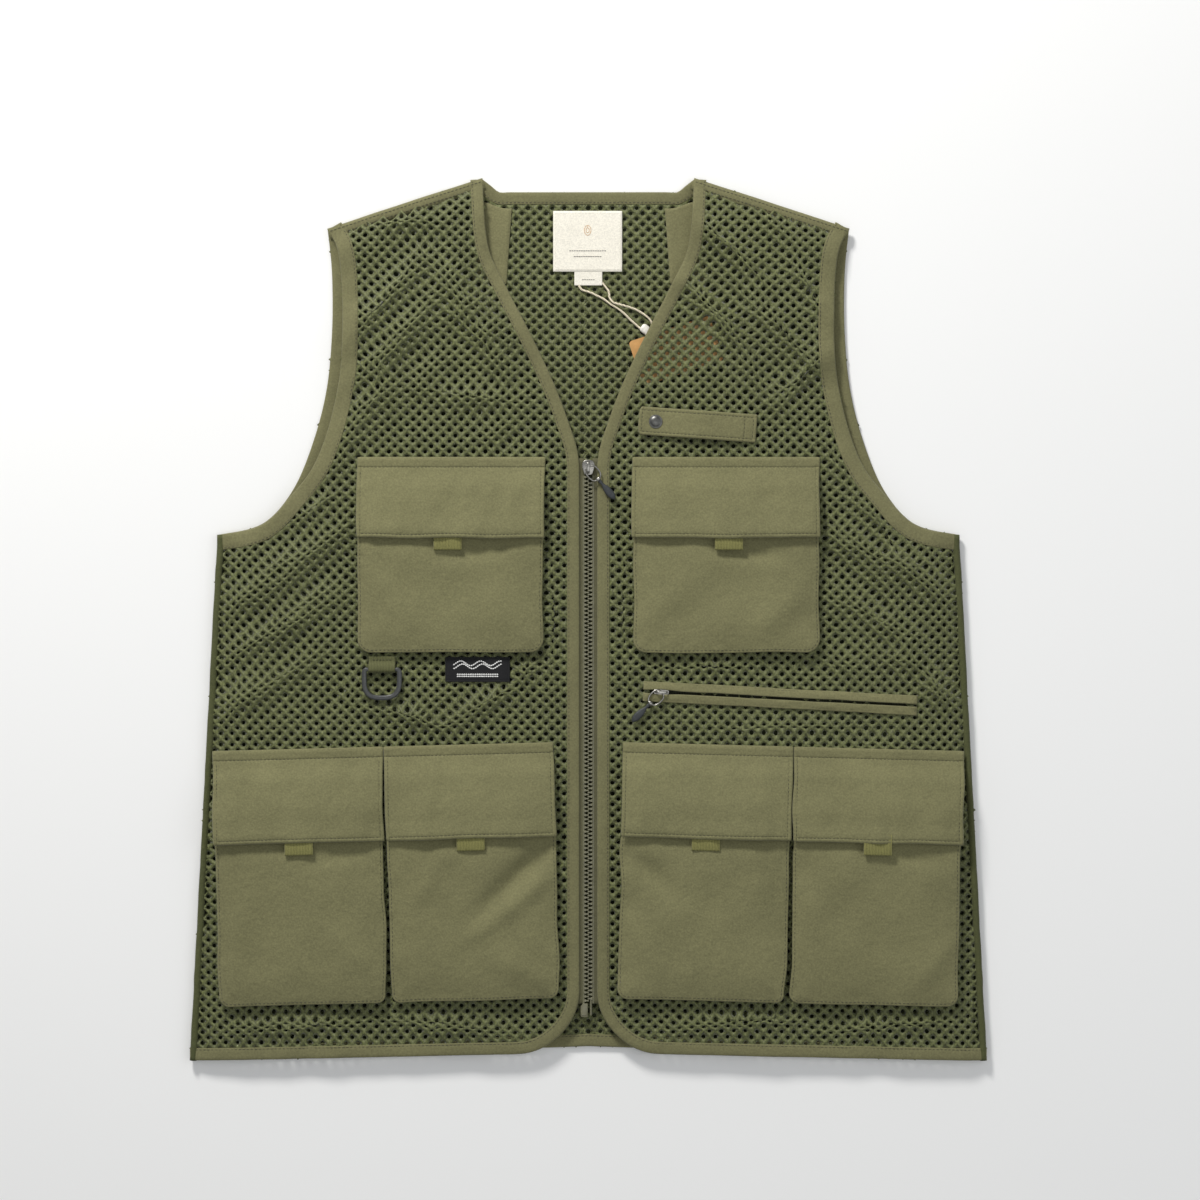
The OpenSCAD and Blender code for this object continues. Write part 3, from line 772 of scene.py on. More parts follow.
def mesh_sheet(name, ring, height, margin, keep):
    """Mesh cloth over the inside of a ring: one rounded web around each hole.

    A web's outer corners and the middles between them are shared with its neighbours."""
    low, high = ring.min(0), ring.max(0)
    i, j = np.meshgrid(np.arange(int(low[0] / HALF_X) - 1, int(high[0] / HALF_X) + 2),
                       np.arange(int(low[1] / HALF_Y) - 1, int(high[1] / HALF_Y) + 2))
    even = (i + j) % 2 == 0
    i, j = i[even], j[even]
    x, y = i * HALF_X, j * HALF_Y
    kept = inside_ring(x, y, ring) & (ring_distance(x, y, ring) > margin) & keep(x, y)
    i, j = i[kept], j[kept]
    spots, order = {}, []
    webs = []
    for a, b in zip(i.tolist(), j.tolist()):
        web = []
        for da, db in CORNER:
            key = (2 * a + da, 2 * b + db)
            if key not in spots:
                spots[key] = len(order)
                order.append(key)
            web.append(spots[key])
        webs.append(web)
    key = np.array(order, float)
    outer = np.stack([key[:, 0] * HALF_X / 2, key[:, 1] * HALF_Y / 2], axis=1)
    outer = outer + 0.42 * np.stack([value_noise(outer[:, 0] / 7, outer[:, 1] / 7, 31),
                                     value_noise(outer[:, 0] / 7, outer[:, 1] / 7, 32)], axis=1)
    centre = np.stack([i * HALF_X, j * HALF_Y], axis=1)
    size = HOLE * (1 + 0.16 * value_noise(centre[:, 0] / 3, centre[:, 1] / 3, 33))
    rim = centre[:, None] + size[:, None, None] * np.array(RIM)[None] * [1.03, 0.97]
    rim = rim.reshape(-1, 2)
    outer, rim = drawn_up(outer, height), drawn_up(rim, height)
    outer_z, rim_z = height(outer[:, 0], outer[:, 1]), height(rim[:, 0], rim[:, 1])
    is_corner = (key[:, 0] % 2 == 0) & (key[:, 1] % 2 == 0)
    half = np.where(is_corner, YARN, 0.86 * YARN)
    points = np.concatenate([
        np.column_stack([outer, outer_z + half]),
        np.column_stack([outer, outer_z - half]),
        np.column_stack([rim, rim_z + 0.26]),
    ])
    n = len(outer)
    faces = []
    for w, web in enumerate(webs):
        r0 = 2 * n + 8 * w
        for k in range(8):
            l = (k + 1) % 8
            faces.append((web[k], web[l], r0 + l, r0 + k))
            faces.append((n + web[l], n + web[k], r0 + k, r0 + l))
    # the open edge of the lattice is closed with a wall between its two faces
    edges = dict.fromkeys((web[k], web[(k + 1) % 8]) for web in webs for k in range(8))
    faces += [(b, a, n + a, n + b) for a, b in edges if (b, a) not in edges]
    return piece(name, points, faces, "mesh_fabric"), len(webs)


def blend_front(o, side):
    """Bakes a front cloth piece's placement into its mesh."""
    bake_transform(o)
    return o


def drawn_up(p, height, pull=4.6):
    """Points moved towards the crests of the folds, where the lattice bunches up."""
    step = 0.8
    x, y = p.T
    slope = np.stack([height(x + step, y) - height(x - step, y),
                      height(x, y + step) - height(x, y - step)], axis=1) / (2 * step)
    return p + pull * np.clip(slope, -0.7, 0.7)


def clear_of_welts(x, y):
    """False inside the zip pocket's mouth, where the left front's mesh is cut away."""
    centre, axis = middle("welts"), JOINTS["pocket_zip_slide"]["axis"]
    dx, dy = x - centre[0], y - centre[1]
    along, across = dx * axis[0] + dy * axis[1], dy * axis[0] - dx * axis[1]
    return (np.abs(along) > 96) | (np.abs(across) > 2.6)


def make_mesh_cloth():
    for side, s in SIDES.items():
        ring = front_ring * [s, 1]
        o, webs = mesh_sheet(f"front_mesh_{side}", ring, front_height, 3.2, clear_of_welts)
        blend_front(o, side)
        names = [f"front_panel_{side}"] + (["front_yokes"] if s > 0 else [])
        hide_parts(*names)
    for side, s in SIDES.items():
        o, webs = mesh_sheet(f"back_mesh_{side}", back_ring, back_height, 3.2,
                             (lambda x, y: x >= -0.1) if s > 0 else (lambda x, y: x < -0.1))
        dressed(o, "back", "mesh_fabric", "back_panel")


# ---------------------------------------------------------------- bindings and seams


def ribbon(path, inside, width, height, shift, seed):
    """A folded tape along the edge of the cloth: rounded at the fold, thin at its inner edge."""
    p = resampled(densified(np.asarray(path, float)), 2.6)
    n = normals_2d(p, inside)
    shift = np.asarray(shift(p) if callable(shift) else np.full(len(p), shift))
    run = run_along(p)
    loop = [(0, 0), (0.25, 0.75), (1.0, 1.15), (width * 0.35, 1.12), (width * 0.62, 1.05),
            (width - 1.9, 0.92), (width - 1.3, 0.70), (width - 0.6, 0.86), (width, 0.45),
            (width, -0.45), (width - 0.8, -0.85), (width * 0.5, -1.0), (0.9, -1.1), (0.2, -0.7)]
    loop = np.array(loop)
    wave = 0.25 * value_noise(run / 5.5, 0.5, seed)
    base = p - n * shift[:, None]
    a, b = loop[None, :, 0], loop[None, :, 1]
    out = a + 0.25 * wave[:, None] * (a > 1.5)
    q = base[:, None] + n[:, None] * out[..., None]
    near, far = base + n * width * 0.15, base + n * width
    edge_z, inner_z = height(near[:, 0], near[:, 1])[:, None], height(far[:, 0], far[:, 1])[:, None]
    z = edge_z + (inner_z - edge_z) * np.clip(a / width, 0, 1) + b
    z = z + wave[:, None] * ((a > 1.5) & (a < width - 1) & (b > 0))
    points = np.concatenate([q, z[..., None]], axis=2).reshape(-1, 3)
    faces = tube_faces(len(p), len(loop))
    seam = base + n * (width - 1.3)
    seam = np.column_stack([seam, height(seam[:, 0], seam[:, 1]) + 0.78])
    return points, faces, seam


def binding(name, path, inside, width, height, attach, node, seed, shift=0.0):
    points, faces, seam = ribbon(path, inside, width, height, shift, seed)
    tape = solid(name, points, faces, "binding")
    sewn = stitches(f"{name}_stitches", [seam], pitch=2.9, long=1.9, thick=0.24)
    for o in (tape, sewn):
        attach(o)
    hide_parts(node)


def on(body):
    return lambda o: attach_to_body(o, body)


def zip_shift(path):
    """The front edges' tapes reach past the cloth's edge towards the zip."""
    reach = low_high("edge_binding_left")[0][0] - 6.4
    bottom = low_high("zip_box")[0][1]
    top = low_high("zip_slider")[1][1]
    y = path[:, 1]
    return reach * smoothstep((top + 30 - y) / 30) * smoothstep((y - bottom + 20) / 40)


BIND_W, ARM_W = 9.0, 11.5


def make_bindings():
    for side, s in SIDES.items():
        flip = np.array([s, 1])
        for kind, line, inside, width, seed, shift in (
                ("edge", edge_line, (s * 150, -100), BIND_W, 40 + s, zip_shift),
                ("armhole", armhole_line, (s * 100, 150), ARM_W, 50 + s, 0.0)):
            binding(f"{kind}_binding_{side}_tape", line * flip, inside, width, front_height,
                    lambda o, side=side: blend_front(o, side), f"{kind}_binding_{side}", seed, shift)
        binding(f"back_armhole_binding_{side}", back_armhole_line * flip, (0, 150), ARM_W,
                back_height, on("back"), "armhole_bindings", 60 + s)
    for node, line, inside, seed in (("neck_binding", back_neck_line, (0, 100), 71),
                                     ("back_hem_binding", back_hem_line, (0, -100), 72)):
        binding(f"{node}_tape", line, inside, BIND_W, back_height, on("back"), node, seed)


def make_seams():
    for side, s in SIDES.items():
        flip = np.array([s, 1])
        line = resampled(np.array([back_pit, HEM]) * flip, 3)
        z = (front_height(line[:, 0], line[:, 1]) + back_height(line[:, 0], line[:, 1])) / 2
        run = np.arange(len(line))
        path = np.column_stack([line[:, 0] - s * (2.2 + 0.3 * value_noise(run / 3, 0.5, 81)), line[:, 1], z])
        loop = [(2.6 * math.cos(a), 2.5 * math.sin(a)) for a in around(12)]
        points, faces = swept(frames_along(path), loop)
        seam = solid(f"side_seam_{side}", points, faces, "seam")
        dressed(seam, "back", "binding", "side_seams")
        line = resampled(np.array([NECK, SHOULDER]) * flip, 3)
        n = normals_2d(line, (0, 0))
        path = np.column_stack([line + n * 3.2, front_height(line[:, 0], line[:, 1]) - 0.6])
        loop = [(4.4 * math.cos(a), 2.0 * math.sin(a)) for a in around(14)]
        points, faces = swept(frames_along(path), loop)
        seam = solid(f"shoulder_seam_{side}", points, faces, "binding")
        dressed(seam, "back", "binding", "shoulder_seams")
        rows = [np.column_stack([line + n * d, path[:, 2] + 1.95]) for d in (1.4, 5.2)]
        sewn = stitches(f"shoulder_stitches_{side}", rows, pitch=3.0, long=2.0, thick=0.24)
        dressed(sewn, "back", "binding")


# ---------------------------------------------------------------- cloth plates and small tools

FRONT_TOP = low_high("front_panel_left")[1][2]


def grid_normals(grid):
    n = np.cross(np.gradient(grid, axis=1), np.gradient(grid, axis=0))
    n /= np.maximum(np.linalg.norm(n, axis=2), 1e-9)[..., None]
    return n if n[..., 2].mean() > 0 else -n


def grid_faces(ids):
    corners = [ids[:-1, :-1], ids[:-1, 1:], ids[1:, 1:], ids[1:, :-1]]
    return np.column_stack([c.ravel() for c in corners]).tolist()


def plate(name, grid, thick, material, round_edge=0.8):
    """Closed cloth of a thickness about a grid (rows, columns, 3), rounded at its edges."""
    rows, cols = grid.shape[:2]
    n = grid_normals(grid) * thick / 2
    ids = np.arange(rows * cols).reshape(rows, cols)
    ring = np.concatenate([ids[0, :-1], ids[:-1, -1], ids[-1, :0:-1], ids[:0:-1, 0]])
    flat = grid.reshape(-1, 3)
    tangent = np.roll(flat[ring], -1, 0) - np.roll(flat[ring], 1, 0)
    out = np.cross(tangent, n.reshape(-1, 3)[ring])
    out /= np.maximum(np.linalg.norm(out, axis=1), 1e-9)[:, None]
    if ((flat[ring] - flat.mean(0)) * out).sum() < 0:
        out = -out
    middle = flat[ring] + out * thick / 2 * round_edge
    points = np.concatenate([flat + n.reshape(-1, 3), flat - n.reshape(-1, 3), middle])
    size = rows * cols
    faces = grid_faces(ids) + grid_faces(ids[::-1] + size)
    m = 2 * size + np.arange(len(ring))
    after, m_after = np.roll(ring, -1), np.roll(m, -1)
    faces += np.column_stack([ring, m, m_after, after]).tolist()
    faces += np.column_stack([m, ring + size, after + size, m_after]).tolist()
    return solid(name, points, faces, material)


class Place:
    """A flat pattern's own axes: x outward from the zip, y up, z as in the shared frame."""

    def __init__(self, origin, x_axis, side):
        self.origin = np.array([origin[0], origin[1], 0.0])
        self.x = np.array([x_axis[0], x_axis[1], 0.0]) / np.hypot(x_axis[0], x_axis[1])
        self.y = np.array([-self.x[1], self.x[0], 0.0]) * side
        self.side = side

    def __call__(self, x, y, z):
        x, y, z = np.broadcast_arrays(np.asarray(x, float), y, z)
        return (self.origin + x[..., None] * self.x + y[..., None] * self.y
                + z[..., None] * np.array([0, 0, 1.0]))

    def point(self, x, y):
        return tuple(float(v) * MM for v in self(x, y, 0.0))


def lathe(name, profile, centre, material, sides=28):
    """A turned piece about a vertical line; profile is (radius, height) from the axis outward."""
    points = [(centre[0] + x, centre[1] + y, centre[2] + z)
              for r, z in profile for x, y in circle_loop(r, sides)]
    return solid(name, points, tube_faces(len(profile), sides), material)


def extruded(name, rim, low, high, material, bevel=0.3, segments=2, place=lambda p: p):
    """A flat outline given a thickness and rounded edges."""
    n = len(rim)
    points = [(x, y, low) for x, y in rim] + [(x, y, high) for x, y in rim]
    faces = [list(range(n - 1, -1, -1)), list(range(n, 2 * n))]
    faces += [[k, (k + 1) % n, n + (k + 1) % n, n + k] for k in range(n)]
    points = [place(np.array(p, float)) for p in points]
    o = solid(name, points, faces, material)
    return bevelled(o, bevel, segments, 0.7)


def merged(name, parts):
    """Several pieces of one material made into one."""
    first = parts[0]
    offset, verts, faces = 0, [], []
    for o in parts:
        verts += [tuple(v.co) for v in o.data.vertices]
        faces += [[i + offset for i in f.vertices] for f in o.data.polygons]
        offset = len(verts)
    mesh = bpy.data.meshes.new(name)
    mesh.from_pydata(verts, [], faces)
    mesh.materials.append(first.data.materials[0])
    mesh.shade_smooth()
    for o in parts:
        bpy.data.objects.remove(o)
    o = bpy.data.objects.new(name, mesh)
    bpy.context.scene.collection.objects.link(o)
    return o


def spaced(length, step, fine=()):
    """Places from 0 to a length, evenly spaced, with closer ones around each fine place."""
    at = list(np.linspace(0, length, int(round(length / step)) + 1))
    for f in fine:
        at = [a for a in at if abs(a - f) > 1.3] + [f - 0.9, f - 0.35, f, f + 0.35, f + 0.9]
    return np.array(sorted(a for a in at if -1e-6 <= a <= length + 1e-6))


def groove(d, depth=0.34, width=0.55):
    return -depth * np.exp(-(d / width) ** 2)


# ---------------------------------------------------------------- flapped pockets

MOUTH, HEADER = 18.0, 6.5
POCKETS = {
    "chest": {"w": 134, "l": 141, "flap": 58, "h": 6.8, "tab": 2, "r": 9},
    "inner": {"w": 121, "l": 185, "flap": 67, "h": 8.4, "tab": 0, "r": 7},
    "outer": {"w": 121, "l": 185, "flap": 67, "h": 8.4, "tab": 0, "r": 7},
}
# Creases in each pouch, in its own axes: from, to, half width and height
CREASES = {
    "chest_right": [((-40, -66), (8, -72), 6, -1.3), ((30, -120), (62, -80), 9, 0.8),
                    ((-50, -130), (-20, -84), 10, 0.7)],
    "chest_left": [((-10, -66), (44, -72), 6, -1.2), ((-58, -122), (-26, -86), 9, 0.8),
                   ((20, -128), (56, -100), 8, 0.7)],
    "inner_right": [((-56, -74), (-6, -122), 8, -2.6), ((-60, -92), (4, -142), 8, 1.5),
                    ((20, -80), (44, -120), 7, 0.9), ((-10, -150), (-58, -178), 9, 1.0)],
    "inner_left": [((-54, -80), (-18, -112), 8, -1.6), ((30, -78), (50, -128), 7, 1.0),
                   ((-30, -170), (-52, -130), 8, 0.9)],
    "outer_right": [((-46, -76), (-10, -80), 6, -1.3), ((40, -110), (50, -160), 8, 0.9),
                    ((-50, -160), (-20, -130), 9, 0.7)],
    "outer_left": [((10, -76), (46, -80), 6, -1.4), ((-50, -100), (-30, -150), 8, 1.0),
                   ((30, -174), (54, -140), 8, 0.9)],
}


def pocket_height(spec, creases, seed):
    """The middle of the pouch front's cloth, in the pocket's own axes."""
    w, l, h = spec["w"], spec["l"], spec["h"]

    def height(x, y):
        inner = np.minimum(w / 2 - np.abs(x), l + y)
        pillow = 1 - 0.30 * (1 - np.clip(inner / 26, 0, 1)) ** 2
        rise = 0.34 + 0.66 * smoothstep((-y - 10) / 36)
        z = FRONT_TOP + h * pillow * rise
        for a, b, width, up in creases:
            d, along = to_segment(x, y, a, b)
            z = z + 1.9 * up * np.exp(-(d / width) ** 2) * np.sin(np.pi * (0.1 + 0.8 * along)) ** 0.8
        near = np.exp(-(inner / 6) ** 2)
        dip = np.exp(-((y + spec["flap"] + 1) / 7) ** 2) * np.clip(1 - (2 * x / w) ** 4, 0, 1)
        z = z - 1.5 * dip * (1 - 0.5 * np.exp(-((x - spec["tab"]) / 14) ** 2))
        z = z + 1.1 * value_noise(x / 26, y / 30, seed) + 0.42 * value_noise(x / 9, y / 13, seed + 1)
        return z + 0.35 * near * value_noise(x / 4.5, y / 4.5, seed + 2)

    return height


def flap_height(spec, pouch, seed):
    """The middle of the flap's cloth: flat at its header, then over the pouch."""
    w, l = spec["w"], spec["flap"]

    def height(x, y):
        over = pouch(np.clip(x, -w / 2 + 6, w / 2 - 6), y * 0.9) + 2.1
        low = FRONT_TOP + 1.0
        z = low + (over - low) * smoothstep((-y - HEADER + 0.5) / 17)
        lift = smoothstep((-y - l + 16) / 16)
        side = 1 - (np.abs(x) / (w / 2)) ** 4
        z = z + lift * (0.4 + 1.6 * side * (0.6 + 0.4 * value_noise(x / 30, 0.3, seed + 3)))
        z = z - 0.5 * (1 - side) * (1 - lift)
        body = smoothstep((-y - HEADER) / 10)
        ridges = 0.9 * value_noise(x / 18, y / 40, seed + 4)
        ridges = ridges + 0.55 * value_noise(x / 8 + y / 60, y / 32, seed + 12)
        return z + body * ridges + 0.16 * value_noise(x / 5, y / 5, seed + 5)

    return height


def make_pouch(name, place, body, node, spec, pouch, seed):
    w, l, r = spec["w"], spec["l"], spec["r"]
    down = np.concatenate([np.arange(MOUTH, l - r, 2.6),
                           l - r + r * np.sin(np.linspace(0, math.pi / 2, 9))])
    turn = np.clip((down - (l - r)) / r, 0, 1)
    half = w / 2 - r + r * np.sqrt(np.maximum(0, 1 - turn**2))
    across = np.sin(np.linspace(-1, 1, 49) * math.pi / 2 * 0.93) / math.sin(math.pi / 2 * 0.93)
    x = half[:, None] * across[None]
    y = np.repeat(-down[:, None], len(across), axis=1)
    sway = 1.7 * value_noise(y / 26, np.sign(x) * 0.5 + 3, seed + 6) * np.abs(across[None]) ** 3
    x = x + sway * (1 - turn[:, None])
    y = y - 0.8 * value_noise(x / 34, 0.5, seed + 7) * smoothstep((down[:, None] - l + 30) / 30)
    z = pouch(x, y)
    rows, cols = x.shape
    ids = np.arange(rows * cols).reshape(rows, cols)
    rim = np.concatenate([ids[:-1, 0], ids[-1, :-1], ids[::-1, -1]])
    flat = np.dstack([x, y, z]).reshape(-1, 3)
    edge = flat[rim]
    n = normals_2d(edge[:, :2], (0, -l / 2))
    top = edge[:, 2]
    base = np.full(len(rim), FRONT_TOP)
    folds = [(-0.5, top - 0.7), (-0.1, top - 1.7), (3.4, base + 0.55 * (top - FRONT_TOP)),
             (0.9, base + 1.6), (0.2, base + 0.5), (2.2, base + 0.35)]
    points, faces = [flat], grid_faces(ids)
    last, start = rim, rows * cols
    run = np.arange(len(rim))
    for k, (inset, level) in enumerate(folds):
        wobble = 0.35 * value_noise(run / 5, k + 0.5, seed + 8) * (0 < k < 4)
        ring = np.column_stack([edge[:, :2] + n * (inset + wobble)[:, None], level])
        points.append(ring)
        here = start + np.arange(len(rim))
        faces += np.column_stack([last[:-1], here[:-1], here[1:], last[1:]]).tolist()
        last, start = here, start + len(rim)
    points = np.concatenate(points)
    shell = piece(f"{name}_pouch", place(points[:, 0], points[:, 1], points[:, 2]), faces, "woven_fabric")
    made = bmesh.new()
    made.from_mesh(shell.data)
    bmesh.ops.recalc_face_normals(made, faces=made.faces)
    if sum(f.normal.z for f in made.faces) < 0:
        bmesh.ops.reverse_faces(made, faces=made.faces)
    made.to_mesh(shell.data)
    made.free()
    solid = shell.modifiers.new("cloth", "SOLIDIFY")
    solid.thickness = 0.6 * MM
    solid.offset = -1
    applied(shell)
    dressed(shell, body, "woven_fabric", node)
    # a row of stitches along the folded front edge
    inner = edge + np.column_stack([n * 1.4, np.zeros(len(edge))])
    row = place(inner[:, 0], inner[:, 1], pouch(inner[:, 0], inner[:, 1]) + 0.05)
    sewn = stitches(f"{name}_pouch_stitches", [row], pitch=3.0, long=2.0, thick=0.2)
    dressed(sewn, body, "woven_fabric")


def webbing_loop_path(y0, z0, reach, back):
    """A strip that comes out from under an edge, folds over itself and goes back."""
    r = 0.62
    z0 -= 2 * r
    turn = [(y0 - reach - r * math.sin(a), z0 + r - r * math.cos(a)) for a in np.linspace(0, math.pi, 7)]
    return [(y0 + back, z0), (y0, z0 - 0.05), (y0 - reach * 0.6, z0 - 0.1)] + turn + \
           [(y0 - reach * 0.5, z0 + 2 * r + 0.15), (y0, z0 + 2 * r), (y0 + back, z0 + 2 * r)]


def webbing(name, place, path, x, w, thick=1.0, material="webbing"):
    """Flat woven strip along a path of (y, z), ribbed along its length."""
    half = np.linspace(-w / 2, w / 2, 17)
    rib = 0.09 * np.cos(np.arange(17) * math.pi)
    loop = [(a, thick / 2 + b) for a, b in zip(half, rib)] + [(w / 2 + 0.25, 0)]
    loop += [(a, -thick / 2 + b) for a, b in zip(half[::-1], rib)] + [(-w / 2 - 0.25, 0)]
    p = np.array(path, float)
    t = np.gradient(p, axis=0)
    t /= np.linalg.norm(t, axis=1)[:, None]
    frames = []
    for (y, z), (ty, tz) in zip(p, t):
        frames.append((place(x, y, z), place.x, -tz * place.y + ty * np.array([0, 0, 1.0])))
    points, faces = swept(frames, loop)
    return solid(name, points, faces, material)


def make_flap(name, place, body, kind, who, spec, cover, seed):
    w, l = spec["w"] + 1.5, spec["flap"]
    down = spaced(l, 2.4, (HEADER + 0.4, l - 2.2))
    across = spaced(w, 3.0, (2.2, w - 2.2)) - w / 2
    x, y = np.meshgrid(across, -down)
    bend = 0.9 * value_noise(y / 22, np.sign(x) * 0.5 + 7, seed + 9) * np.abs(2 * x / w) ** 5
    z = cover(x, y)
    z = z + groove(y + HEADER + 0.4) + groove(y + l - 2.2) * (np.abs(x) < w / 2 - 1.5)
    z = z + groove(np.abs(x) - (w / 2 - 2.2)) * (y < -HEADER)
    y = y - 0.7 * value_noise(x / 30, 0.5, seed + 10) * smoothstep((-y - l + 14) / 14)
    flap = plate(f"{name}_flap_cloth", place(x + bend, y, z), 1.5, "woven_fabric")
    xs = np.linspace(-w / 2 + 2.2, w / 2 - 2.2, 60)
    ys = -np.linspace(HEADER + 2, l - 2.2, 40)
    rows = [(xs, np.full(60, -HEADER - 0.4)), (xs, np.full(60, -l + 2.2)),
            (np.full(40, -w / 2 + 2.2), ys), (np.full(40, w / 2 - 2.2), ys),
            (xs, np.full(60, -1.2))]
    lines = [place(a, b - 0.7 * value_noise(a / 30, 0.5, seed + 10) * smoothstep((-b - l + 14) / 14),
                   cover(a, b) + 0.46) for a, b in rows]
    sewn = stitches(f"{name}_flap_stitches", lines, pitch=2.8, long=1.9, thick=0.22)
    for o in (flap, sewn):
        place.point(0, -4.6)
        place.point(0, -9.0)
        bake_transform(o)
    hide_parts(f"{kind}_flap_{who}")
    edge = float(cover(spec["tab"], -l + 2)) - 1.3
    path = webbing_loop_path(-l + 1, edge, 9.2, 5)
    tab = webbing(f"{name}_tab_webbing", place, path, spec["tab"], 20, 0.95)
    dressed(tab, body, "webbing", f"{kind}_tab_{who}")


def make_pockets():
    for n, (side, s) in enumerate(SIDES.items()):
        strips = []
        for k, (kind, spec) in enumerate(POCKETS.items()):
            joint = JOINTS[f"{kind}_flap_{side}_lift"]
            ax = -s * np.array(joint["axis"][:2])
            at = np.array(joint["pos_m"]) / MM
            place = Place(at, ax, s)
            place.origin = place(0, HEADER, 0)
            seed = 100 + 20 * n + 60 * k
            name = f"{kind}_{side}"
            pouch = pocket_height(spec, CREASES[name], seed)
            cover = flap_height(spec, pouch, seed)
            make_pouch(name, place, f"front_{side}", f"{kind}_pocket_{side}", spec, pouch, seed)
            make_flap(name, place, f"{kind}_flap_{side}", kind, side, spec, cover, seed)
            x = np.linspace(-0.35, 0.35, 30) * spec["w"]
            x, y = np.meshgrid(x, np.linspace(6, 24, 10) - spec["flap"])
            strip = plate(f"{name}_loops", place(x, y, pouch(x, y) + 0.5), 0.5, "hook_and_loop")
            strips.append(strip)
            under = plate(f"{name}_hooks", place(x, y, cover(x, y) - 0.95), 0.4, "hook_and_loop")
            dressed(under, f"{kind}_flap_{side}", "hook_and_loop")
        whole = merged(f"loop_strips_{side}_cloth", strips)
        dressed(whole, f"front_{side}", "hook_and_loop", f"loop_strips_{side}")


# ---------------------------------------------------------------- zips

ZIP_Z = middle("zip_teeth_right")[2]
RING_W, WIRE, PITCH = 10.6, 1.2, 3.0


def zip_tapes():
    for side, s in SIDES.items():
        low, high = low_high(f"zip_tape_{side}")
        near, far = sorted((abs(low[0]), abs(high[0])))
        top = low_high("zip_slider")[1][1] + 1
        y, x = np.meshgrid(np.linspace(low[1], top, 130), np.linspace(near, far, 12), indexing="ij")
        z = ZIP_Z - 0.02 + 0.06 * value_noise(x / 4, y / 7, 301)
        tape = plate(f"zip_tape_{side}_cloth", np.dstack([s * x, y, z]), 0.5, "zip_tape")
        dressed(tape, f"front_{side}", "zip_tape", f"zip_tape_{side}")


TOOTH = [(3.4, -0.95), (3.4, 0.95), (2.1, 0.95), (1.5, 0.55), (0.9, 0.5), (0.45, 0.72), (-0.25, 0.62),
         (-0.5, 0.2), (-0.5, -0.2), (-0.25, -0.62), (0.45, -0.72), (0.9, -0.5), (1.5, -0.55), (2.1, -0.95)]


def zip_teeth():
    low, high = low_high("zip_teeth_right")
    rim = np.array(TOOTH)
    layers = [(-1.05, 0.8), (-0.75, 1.0), (0.75, 1.0), (1.15, 0.8)]
    centre_x = rim[:, 0].mean()
    for side, s in SIDES.items():
        parts = []
        start = high[1] - (PITCH / 2 if s > 0 else 0) - 1
        for y in np.arange(start, low[1] + 1.5, -PITCH):
            points = [(s * (centre_x + (x - centre_x) * k), y + b * k, ZIP_Z + z)
                      for z, k in layers for x, b in rim]
            parts.append((points, tube_faces(len(layers), len(rim))))
        cord = [(s * 3.5, y, ZIP_Z) for y in np.linspace(low[1], high[1], 60)]
        parts.append(swept(frames_along(cord), circle_loop(0.85, 8)))
        if s > 0:
            foot = low_high("zip_box")[0][1] + 1.2
            pin = [(1.9, y, ZIP_Z) for y in np.linspace(foot, low[1] + 3, 6)]
            parts.append(swept(frames_along(pin), circle_loop(0.75, 10)))
        points, faces = joined(parts)
        teeth = solid(f"zip_chain_{side}", points, faces, "zip_teeth", smooth=False)
        dressed(teeth, f"front_{side}", "zip_teeth", f"zip_teeth_{side}")
    (x0, y0, _), (x1, y1, _) = low_high("zip_box")
    rim = [(x0 + 0.9, y0), (x1 - 0.5, y0), (x1, y0 + 0.6), (x1, y1 - 0.4), (x1 - 0.4, y1),
           (x0 + 1.6, y1), (x0, y1 - 2.2), (x0, y0 + 0.9)]
    body = extruded("zip_box_shell", rim, ZIP_Z - 1.5, ZIP_Z + 1.5, "zip_teeth", 0.45, 3)
    ridge = [(x0 + 1, y0 + 1.6), (x1 - 0.9, y0 + 1.6), (x1 - 0.9, y0 + 2.4), (x0 + 1, y0 + 2.4)]
    rib = extruded("zip_box_rib", ridge, ZIP_Z + 1.3, ZIP_Z + 1.85, "zip_teeth", 0.2, 2)
    box = merged("zip_box_moulding", [body, rib])
    dressed(box, "front_right", "zip_teeth", "zip_box")


def shield(w, l, narrow=0.72):
    """A zip slider's plate from above: round shoulders, two cheeks and a narrower foot."""
    right = [(0.0, 0.5), (0.24, 0.485), (0.40, 0.42), (0.5, 0.26), (0.5, 0.05), (0.43, -0.16),
             (narrow / 2, -0.36), (narrow / 2 - 0.06, -0.47), (0.12, -0.5)]
    left = [(-x, y) for x, y in right[::-1] if x > 0]
    return [(x * w, y * l) for x, y in right + left]


